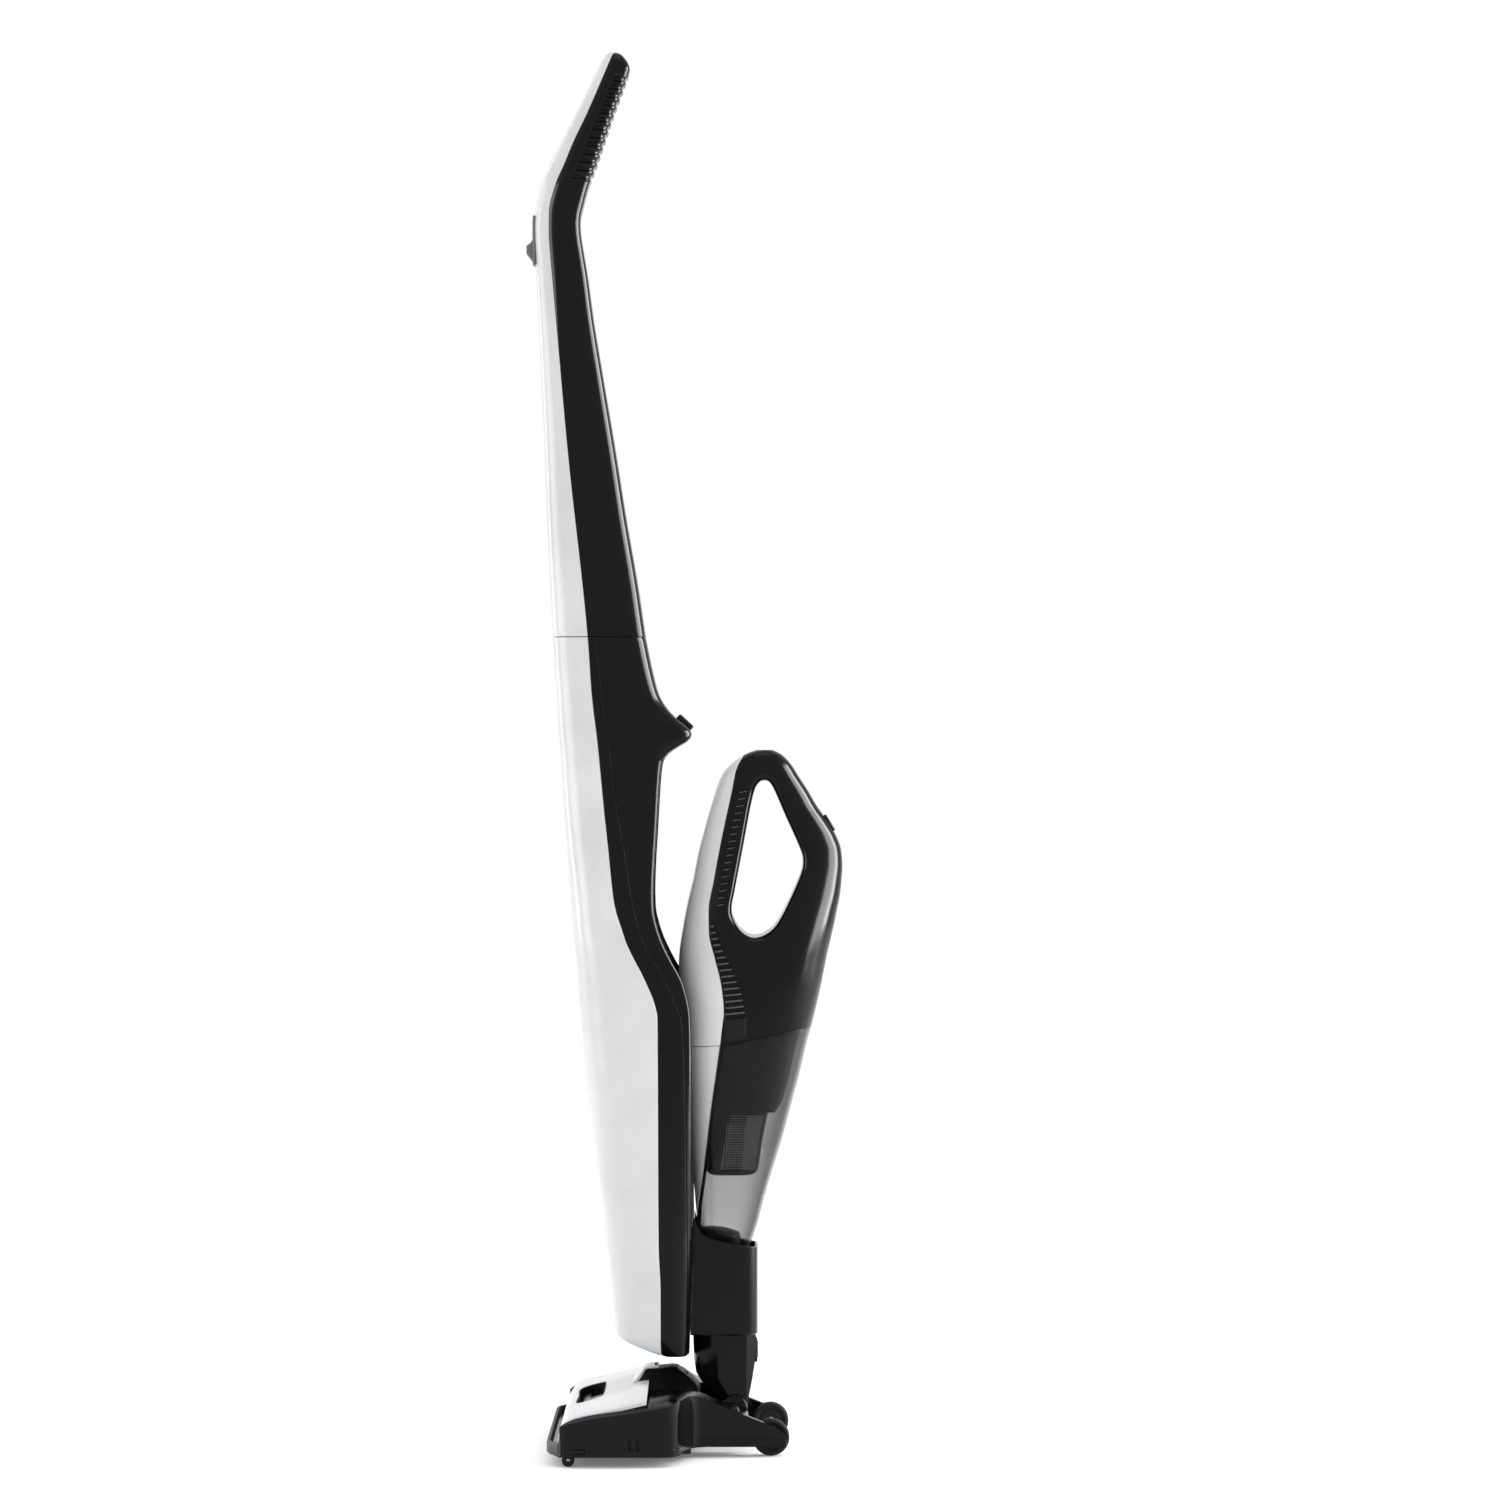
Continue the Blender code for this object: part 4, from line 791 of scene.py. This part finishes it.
def build_vent_panel():
    """Smooth plate between the lowest vent and the seam."""
    for side, word in SIDES:
        rings = []
        for i in range(9):
            x = 32.4 + 16.6 * i / 8
            top, foot = 343.0 + (x - 32) * 0.10, seam_z(x) + 2.4
            rings.append([(x, side * (hand_half(x, z) + 0.35), z)
                          for z in [foot + (top - foot) * j / 5 for j in range(6)]])
        shell("vent_panel_" + word, skin(rings), hand_spine, MATTE, "hand_unit",
              wall=0.8, edge=0.3)


def build_bin():
    up = Vector((-SEAM_REAR, 0, 1))
    levels = heights(160, 346, 3)
    wall = skin([hand_rear_ring(z, 1.9) for z in levels])
    half_space(wall, SEAM_TURN - Vector((0, 0, 0.3)), up)
    shell("bin_clear_wall", wall, hand_spine, SMOKE, "dust_bin", ("bin_shell",), 2.0, 0.3)
    for side, word in SIDES:
        strip = []
        for z in heights(163, 322, 3):
            split = smooth_at(HAND_SPLIT, z)[1]
            strip.append([(split + d, side * hand_half(split + d, z), z) for d in (GAP, 1.0, 1.75)])
        shell("bin_edge_" + word, skin(strip), hand_spine, BLACK, "dust_bin", edge=0.2)


FILTER = [(218, 19, 56, 19), (221, 17.6, 58.4, 21), (245, 17.4, 62.2, 22.5), (268.5, 17, 67, 25)]


def filter_ring(z, inset, count=60):
    row = smooth_at(FILTER, z)
    middle, reach = centred(row)
    end = 360 * (count - 1) / count
    return raised(arc(middle, 0, reach - inset, row[3] - inset, 0, end, count - 1, 4.0), z)


def build_filter():
    rings = [filter_ring(z, max(0.0, 2.5 - (z - 218))) for z in heights(218, 268.5, 2.0)]
    piece("filter_basket", capped(rings), MATTE, "dust_bin", ("filter_frame",))
    holder = []
    for z in heights(269, 346, 4):
        row = smooth_at(HAND, z)
        split = smooth_at(HAND_SPLIT, z)[1]
        low, high = split + 1.2, row[2] - 8.5 - max(0.0, 3.5 - (z - 269) * 0.4)
        side = hand_side(z, low, high, 16)
        ring = [(x, max(0.5, y - 2.6), z) for x, y in side]
        holder.append(ring + [(x, -y, z) for x, y, z in ring[::-1]])
    bm = capped(holder)
    above = prism([(-40, seam_z(-40) - 0.8), (160, seam_z(160) - 0.8), (160, 420), (-40, 420)], -80, 80)
    bm = carve("holder", bm, [above])
    soften(piece("filter_collar", bm, MATTE, "dust_bin", ("filter_holder",)), 0.8)
    wires = []
    for side in (1, -1):
        for k in range(22):
            z = 224.0 + 2.0 * k
            row = smooth_at(FILTER, z)
            low, high = 29.5 + (z - 222) * 0.155, row[2] - 4.5
            middle = ((low + high) / 2, side * (row[3] + 0.05), z)
            wires.append(block((high - low, 0.5, 0.45), middle, 0, 0))
        for k in range(14):
            x = 31.5 + 2.0 * k
            for z in (236.0, 256.0):
                row = smooth_at(FILTER, z)
                middle = (x + (z - 236) * 0.13, side * (row[3] + 0.1), z)
                wires.append(block((0.45, 0.5, 22), middle, 6, 0))
    piece("filter_weave", merged(wires), MESH_GREY, "dust_bin")
    for side, word in SIDES:
        panel = []
        for z in heights(223, 266, 3):
            row = smooth_at(FILTER, z)
            low, high = 28.5 + (z - 222) * 0.155, row[2] - 3.6
            panel.append([(low + (high - low) * i / 8, side * (row[3] - 0.1), z) for i in range(9)])
        shell("filter_screen_" + word, skin(panel), hand_spine, SCREEN, "dust_bin",
              wall=0.4, edge=0.1)


def build_nozzle():
    """Dark throat piece that shows below the clear bin."""
    rows = [(156.5, 14.5, 43.6, 15.5), (162, 13.4, 44.4, 17.4), (167, 12.8, 44.8, 18.6),
            (170.5, 12.6, 44, 18.8), (173, 12.8, 38, 18.0), (174.6, 13.2, 31, 16.4), (175.2, 15, 26, 13.0)]
    rings = []
    for z in heights(156.5, 175.2, 0.9):
        row = smooth_at(rows, z)
        middle, reach = centred(row)
        rings.append(raised(arc(middle, 0, reach, row[3], 0, 354, 59, 3.4), z))
    piece("nozzle_throat", capped(rings), MATTE, "dust_bin", ("bin_nozzle",))


# ---- cup, neck and floor head ----
CUP_FRONT, CUP_REAR, CUP_HALF = 7.4, 58.6, 31.0
CUP_FOOT = 92.2


def rounded(points, radii, steps=10):
    """Closed outline with its corners rounded, convex or concave."""
    out = []
    count = len(points)
    for i in range(count):
        here, before, after = Vector(points[i]), Vector(points[i - 1]), Vector(points[(i + 1) % count])
        radius = radii[i]
        if radius <= 0:
            out.append(tuple(here))
            continue
        back, ahead = (before - here).normalized(), (after - here).normalized()
        half = back.angle(ahead) / 2
        run = min(radius / math.tan(half), (before - here).length * 0.49, (after - here).length * 0.49)
        start, end = here + back * run, here + ahead * run
        for k in range(steps + 1):
            t = k / steps
            out.append(tuple((1 - t) ** 2 * start + 2 * t * (1 - t) * here + t ** 2 * end))
    return out


def build_cup():
    corners = [(CUP_FRONT, -CUP_HALF), (CUP_REAR, -CUP_HALF), (CUP_REAR, CUP_HALF), (CUP_FRONT, CUP_HALF)]
    rings = []
    for z in [CUP_FOOT] + heights(93.2, 186, 3):
        tuck = 0.9 if z == CUP_FOOT else 0.0
        front = smooth_at(BODY, z)[2] + 0.3
        spots = [(front if x == CUP_FRONT else x - tuck, y - math.copysign(tuck, y)) for x, y in corners]
        rings.append(raised(rounded(spots, [0, 15, 15, 0], 12), z))
    rim = [(72, 161.6), (57, 161.8), (45, 163.4), (36, 165.4), (24.5, 168.0), (15, 172.5), (10.4, 179.5),
           (7.9, 188), (7.9, 205), (72, 205)]
    above = prism([p for p in closed_curve(rim, 5) if p[1] < 204.5], -60, 60)
    pocket = []
    for z, rear, half in ((130.2, 54.4, 28), (148, 54.4, 28), (164, 56.9, 28.8), (221, 56.9, 28.8)):
        corners = [(12.4, -half), (rear, -half), (rear, half), (12.4, half)]
        pocket.append(raised(rounded(corners, [2, 12, 12, 2], 8), z))
    throat = block((14, 2 * CUP_HALF - 6, 60), (10.2, 0, 180), 0, 0)
    duct = rod(14, 70, (31, 0, 112))
    body = carve("cup", capped(rings), [above, capped(pocket), throat, duct])
    soften(piece("cup_body", body, BLACK, "stick", ("cradle_cup",), 30), 1.1, 3, 48)


def cut_away(bm, point, normal):
    """Solid with everything beyond the plane cut off and the cut closed."""
    half_space(bm, point, Vector(normal).normalized())
    bmesh.ops.holes_fill(bm, edges=[edge for edge in bm.edges if edge.is_boundary])
    return bm


NECK_HALF, SWIVEL_X, SWIVEL_CLEAR = 24.4, 31.0, 24.2
PIVOT_X, PIVOT_Z, PIN_RADIUS = 40.0, 34.0, 4.0


def build_neck():
    outline = [(6.8, 91.4), (7.6, 72), (9.4, 61), (15, 52), (28, 42.5), (33, 31), (46.5, 30.4), (50.4, 35),
               (51.8, 44), (54.4, 57), (56.4, 70), (57.2, 91.4)]
    front = arc(SWIVEL_X, 0, SWIVEL_CLEAR, SWIVEL_CLEAR, 90, 270, 36)
    hull = [(60, SWIVEL_CLEAR)] + front + [(60, -SWIVEL_CLEAR)]
    form = carve("neck", prism(outline, -NECK_HALF, NECK_HALF), [prism(hull, 20, 95, "Z")], "INTERSECT")
    for side in (1, -1):
        cut_away(form, (10, side * NECK_HALF, 88), (-0.535, side * 0.788, -0.304))
        cut_away(form, (49.5, side * NECK_HALF, 80), (0.66, side * 0.75, 0))
    barrel = rod(10.4, 60, (PIVOT_X, 0, PIVOT_Z), Y_AXIS, 48, 1.2)
    bore = rod(PIN_RADIUS + 0.3, 70, (PIVOT_X, 0, PIVOT_Z), Y_AXIS, 32)
    duct = rod(12, 60, (29, 0, 82))
    pocket = block((8, 15, 20), (56.6, 0, 77.5), 0, 0)
    joined = carve("neck", form, [barrel], "UNION")
    seams = [block((0.8, 4, 60), (41.5, side * (NECK_HALF + 1.4), 62), -4, 0) for side in (1, -1)]
    body = carve("neck", joined, [bore, duct, pocket] + seams)
    soften(piece("neck_body", body, BLACK, "neck", ("neck_yoke",), 30), 0.7, 2, 30)
    latch = block((4.4, 14, 18.8), (56.2, 0, 77.5), 0, 1.2)
    ridges = [block((1.0, 11, 1.1), (58.5, 0, 72.5 + 2.6 * k), 0, 0.35) for k in range(5)]
    piece("neck_latch", merged([latch] + ridges), MATTE, "neck_latch", ("head_latch",))
    pins = [rod(PIN_RADIUS, 30, (PIVOT_X, side * 36.5, PIVOT_Z), Y_AXIS, 32, 0.5) for side in (1, -1)]
    piece("hinge_pins", merged(pins), BLUED, "floor_head", ("hinge_pin_left", "hinge_pin_right"))


def build_controls():
    """Thumb switch with its bezel, and the hand vacuum's power button."""
    knob = prism([(-121.2, 965), (-122.6, 962.2), (-126.2, 959.8), (-126.2, 953.4), (-122.8, 949.4),
                  (-121.2, 946.6)], -7.6, 7.6)
    knob = piece("thumb_knob", knob, GREY, "thumb_switch", ("slide_switch",), 30)
    soften(knob, 0.6, 3, 20)
    bezel = merged([block((2.6, 19.6, 39.6), (-119.9, 0, 964), 0, 1.1),
                    block((0.9, 12, 30), (-121.1, 0, 966), 0, 0.3)])
    piece("thumb_bezel", bezel, GREY, "stick", ("switch_bezel",), 30)
    pad = [block((4.0, 11, 15), (115.2, 0, 498.4), POWER_LEAN, 1.2)]
    for k in (-1, 0, 1):
        pad.append(block((0.8, 7, 0.9), (117.2 - 1.6 * k, 0, 498.6 + 2.7 * k), POWER_LEAN, 0.3))
    piece("power_pad", merged(pad), MATTE, "hand_power", ("power_button",), 30)


HEAD_HALF, ARM_OUTER, ARM_INNER, SEAT_HALF, HUMP_HALF = 122.5, 62, 56.2, 116.6, 31.6
HEAD_FOOT, HEAD_REAR = 8, 81.6
BRUSH_X, BRUSH_Z = -67, 21.5
HEAD_TOP = [
    (-104, 17), (-101, 24), (-97, 29.5), (-93, 33.2), (-88, 35.8), (-80, 38.2), (-72, 40), (-55, 42.6),
    (-40, 44.6), (-25, 47), (-12, 49.2), (-4, 50.2), (3, 50.0), (12, 47.6), (22, 43.4), (38, 37.2),
    (50, 32.4), (62, 27.6), (72, 24), (77, 21), (80.4, 16.5), (81.6, 12), (81.8, 8),
]


def head_outline():
    half = [(-103.6, 0), (-101.6, HEAD_HALF), (-4.5, HEAD_HALF), (6.5, ARM_OUTER), (HEAD_REAR, ARM_OUTER),
            (HEAD_REAR, ARM_INNER), (51, ARM_INNER), (51, HUMP_HALF), (11.8, HUMP_HALF)]
    radii = [0, 24, 16, 20, 2.5, 1, 3, 3, 2]
    points = half + [(x, -y) for x, y in half[:0:-1]]
    return rounded(points, radii + radii[:0:-1], 10)


def inset_outline(outline, depth):
    return [(x - n.x * depth, y - n.y * depth) for (x, y), n in zip(outline, outline_normals(outline))]


def build_head_base():
    outline = head_outline()
    above = [(x, smooth_at(HEAD_TOP, x)[1]) for x in [-112 + 2 * i for i in range(98)]]
    above += [(90, 8.5), (90, 110), (-112, 110)]
    drops = [(-140, 4.0), (-HEAD_HALF, 2.4), (-SEAT_HALF, 0.0)]
    drops += [(-y, drop) for y, drop in reversed(drops)]
    roof = capped([[(x, y, z - (drop if z < 100 else 0)) for x, z in above] for y, drop in drops])
    seam = carve("seam", prism([(-120, -130), (100, -130), (100, 130), (-120, 130)], 13.9, 14.5, "Z"),
                 [prism(inset_outline(outline, 0.6), 10, 20, "Z")])
    seat = prism([(-96.5, 13.6), (-94, 22), (-91, 29.0), (-86, 34.4), (-77, 37.6), (-66, 39.8), (-50, 42.6),
                  (-38, 44.4), (-27.4, 46.4), (-27.4, 80), (-110, 80), (-110, 13.6)], -SEAT_HALF, SEAT_HALF)
    chamber = rod(18.5, 216, (BRUSH_X, 0, BRUSH_Z), Y_AXIS, 64)
    mouth = block((34, 216, 30), (BRUSH_X, 0, 5), 0, 2)
    hump = prism([(-27.7, 40), (11.7, 40), (11.7, 80), (-27.7, 80)], -31.8, 31.8)
    slots = []
    for side in (1, -1):
        for k in (0, 1):
            slots.append(block((1.9, 5, 9.0), (-40.9 + 6.2 * k, side * HEAD_HALF, 17.4), 0, 0.5))
        slots.append(block((15.5, 2.4, 4.0), (-83.6, side * HEAD_HALF, 12.4), 0, 0.5))
        slots.append(rod(PIN_RADIUS + 0.3, 26, (PIVOT_X, side * 39, PIVOT_Z), Y_AXIS, 32))
        slots.append(block((13, 10, 8), (-89, side * 113, 8), 0, 0.5))
    body = carve("head", prism(outline, HEAD_FOOT, 60, "Z"),
                 [roof, seat, chamber, mouth, hump, seam] + slots)
    soften(piece("head_shell", body, BLACK, "floor_head", ("head_base",), 32), 0.5, 2, 45)
    trims = [block((13.6, 1.6, 2.6), (-83.6, side * (HEAD_HALF - 0.6), 12.4), 0, 0.4) for side in (1, -1)]
    piece("bumper_clips", merged(trims), MATTE, "floor_head")


COVER = [(-97.4, 20.5, 19), (-96.6, 25, 23.4), (-95, 30.2, 28), (-92.6, 34.6, 32.6), (-90, 37.4, 35.6),
         (-86, 39.8, 38.6), (-80, 42, 40.6), (-72, 44.4, 42.4), (-66, 46.2, 43.6), (-58, 48.6, 45.4),
         (-50, 51, 47.2), (-42, 53.4, 49.0), (-34, 55.2, 51.0), (-28, 56, 52.4)]
COVER_HALF, COVER_WALL = 116.0, 2.6
COVER_STEPS, COVER_ROLL = 64, 3.0
WINDOW = [
    (-84.2, -46), (-84.6, 0), (-84.2, 46), (-68, 49), (-63.6, 40), (-62.8, 0), (-63.6, -40), (-68, -49),
]


def cover_height(x, y):
    row = smooth_at(COVER, x)
    share = abs(y) / COVER_HALF
    return row[1] - (row[1] - row[2]) * share ** 2


def cover_line(x, half):
    """Crowned line across the cover at x, its rim rolled down."""
    line = []
    for j in range(COVER_STEPS + 1):
        y = half * (2 * j / COVER_STEPS - 1)
        drop = max(0.0, abs(y) - (half - COVER_ROLL)) / COVER_ROLL
        line.append((x, y, cover_height(x, y) - 1.6 * (1 - math.sqrt(max(0.0, 1 - drop ** 2)))))
    return line


def build_cover():
    places = [-97.4, -97.0, -96.4, -95.6, -94.6, -93.4, -92, -90.4, -88.4]
    places += [-86 + 58 * i / 30 for i in range(31)]
    rings = []
    for x in places:
        top = cover_line(x, COVER_HALF - max(0, (-90 - x)) * 0.8)
        rings.append(top + [(px, py, z - COVER_WALL) for px, py, z in reversed(top)])
    bm = capped(rings)
    rim = closed_curve(WINDOW, 6)
    window = prism(rim, 20, 90, "Z")
    slot = block((30, 106, 2.6), (-100, 0, 27.6), 0, 1.0)
    body = carve("cover", bm, [window, slot])
    made = piece("cover_shell", body, WHITE, "floor_head", ("head_cover",), 35)
    soften(made, 0.5, 2, 55)
    pane = []
    for i in range(13):
        x = -86.5 + 26 * i / 12
        pane.append([(x, y, cover_height(x, y) - 5.6) for y in [-52 + 104 * j / 24 for j in range(25)]])
    glass = skin(pane)
    inner = inset_outline(rim, 1.0)
    walls = []
    for path, drop in ((rim, 6.0), (rim, 0.5), (inner, 0.5), (inner, 6.0)):
        walls.append([(x, y, cover_height(x, y) - drop) for x, y in path])
    piece("window_frame", skin(walls + [walls[0]], closed_ring=True), DUCT, "floor_head")
    shell("window_pane", glass, lambda p: Vector((-70, 0, -200)), PANE, "floor_head",
          ("brush_window",), 1.2, 0.1)
    build_hump()


def build_hump():
    """Black duct cover with the white tongue of the cover over its front."""
    side_view = [(-27.4, 44), (-27.4, 61.5), (-24, 63.2), (-18, 64.2), (-10, 65.0), (-5.5, 64.6), (0, 60.4),
                 (6, 55.4), (11.2, 49.2), (11.2, 40.6), (-27.4, 40.6)]
    steps = [(-31.4, 49.4), (-27, 51.6), (-24, 53.4), (-20, 57.4), (-16, 62.4), (-14.6, 64.0), (-12.8, 66)]
    steps += [(-y, top) for y, top in reversed(steps)]
    rings = [[(x, y, min(z, top)) for x, z in side_view] for y, top in steps]
    body = carve("hump", capped(rings), [rod(9.7, 34, (-14, 0, 51), (1, 0, 0), 48)])
    piece("hump_shell", body, DUCT, "floor_head", ("duct_cover",), 30)
    ramp = [(-41.5, 53.4), (-37.5, 57.0), (-33.6, 62.2), (-31.2, 64.8), (-28, 65.6), (-20.2, 66.0)]
    rings = []
    for x, z in ramp:
        half = 24 - 10.5 * min(1.0, max(0.0, (z - 53.4) / 11.4))
        top = [(x, y, z) for y in [half * (2 * j / 16 - 1) for j in range(17)]]
        rings.append(top + [(px + (1.6 if z < 64 else 0), py, pz - 1.8) for px, py, pz in reversed(top)])
    tongue = piece("cover_tongue", capped(rings), WHITE, "floor_head", smooth=35)
    soften(tongue, 0.5, 2, 50)
    cheeks = [(-38.6, 53.0), (-31.4, 62.6), (-27.6, 63.4), (-27.6, 50), (-38.6, 50)]
    steps = [(-24.5, 54.0), (-20, 57.4), (-16, 61.6), (-13.2, 64)]
    steps += [(-y, top) for y, top in reversed(steps)]
    fill = capped([[(x, y, min(z, top)) for x, z in cheeks] for y, top in steps])
    piece("hump_nose", fill, DUCT, "floor_head", smooth=30)
    piece("cover_catch", block((2.6, 9, 1.2), (-22.6, 0, 66.1), 0, 0.3), MATTE, "floor_head")


def build_bumper():
    section = [(-1.2, 8.8), (-2.2, 10.4), (-2.3, 16.8), (-1.4, 18.6), (0.5, 18.8), (0.5, 8.6)]
    rings = []
    for y in [-118 + 236 * j / 60 for j in range(61)]:
        back = max(0.0, abs(y) - 92) / 26
        x = -104.2 + 9.0 * back ** 2.4
        rings.append([(x + dx, y, z) for dx, z in section])
    piece("bumper_strip", capped(rings), BUMPER, "floor_head", ("front_bumper",), 30)


WHEEL_RADIUS, WHEEL_X = 14.5, 69


def wheel_profile(radius, half, bore):
    """Half section from the bore out and back, for a wheel with a dished hub."""
    rim = radius - 3.4
    near = [(bore, -half + 1.2), (bore + 2.2, -half + 0.6), (rim - 1.2, -half + 1.4), (rim, -half + 0.3),
            (radius - 1.6, -half), (radius - 0.5, -half + 0.5), (radius, -half + 1.6), (radius, -0.5),
            (radius - 0.4, -0.25)]
    return near + [(r, -y) for r, y in reversed(near)]


def turned(profile, centre, segments=64):
    """Profile turned about Y."""
    bm = bmesh.new()
    rings = []
    for i in range(segments):
        angle = math.tau * i / segments
        out = Vector((math.cos(angle), 0, math.sin(angle)))
        rings.append([bm.verts.new(Vector(centre) + out * r + Vector((0, y, 0))) for r, y in profile])
    for a, b in zip(rings, rings[1:] + rings[:1]):
        for i in range(len(profile)):
            j = (i + 1) % len(profile)
            bm.faces.new((a[i], a[j], b[j], b[i]))
    bmesh.ops.recalc_face_normals(bm, faces=bm.faces)
    return bm


def build_wheels():
    for side, word in SIDES:
        tyre = turned(wheel_profile(WHEEL_RADIUS, 5.2, 3.3), (WHEEL_X, side * 49.55, WHEEL_RADIUS))
        piece("tyre_" + word, tyre, RUBBER, "wheel_" + word, ("rear_wheel_" + word,), 35)
        axle = rod(3, 13.6, (WHEEL_X, side * 51.7, WHEEL_RADIUS), Y_AXIS, 32, 0.4)
        piece("axle_" + word, axle, STEEL, "floor_head", ("wheel_axle_" + word,))
        profile = wheel_profile(5, 4, 1.6)[3:15] + [(1.6, 2.8), (1.6, -2.8)]
        castor = turned(profile, (-89, side * 113, 5), 40)
        piece("castor_" + word + "_wheel", castor, MATTE, "castor_" + word,
              ("front_castor_" + word,), 35)


def build_brush():
    """Two wound rows of bristle tufts on the roll."""
    for k, word in enumerate("ab"):
        tufts = []
        count = 84
        for i in range(count):
            share = (i + 0.5) / count
            angle = math.pi * k + 2.2 * share
            y = -92 + 174 * share
            out = Vector((math.cos(angle), 0, math.sin(angle)))
            for lean in (-0.5, 0.5):
                foot = Vector((BRUSH_X, y + lean * 0.8, BRUSH_Z)) + out * 9.6
                tip = Vector((BRUSH_X, y + lean * 1.6, BRUSH_Z)) + out * 16.3
                tufts.append(rod(0.55, (tip - foot).length, (foot + tip) / 2, tip - foot, 5, tip=0.95))
        piece("tufts_" + word, merged(tufts), NYLON, "brush_roll", ("bristle_strip_" + word,), 0)


for build in (build_camera, build_stage, build_light, paint_cad_nodes, build_stick, build_handle,
              build_hand_front, build_hand_rear, build_bin, build_filter, build_nozzle, build_controls,
              build_cup, build_neck, build_head_base, build_cover, build_bumper, build_wheels, build_brush):
    build()
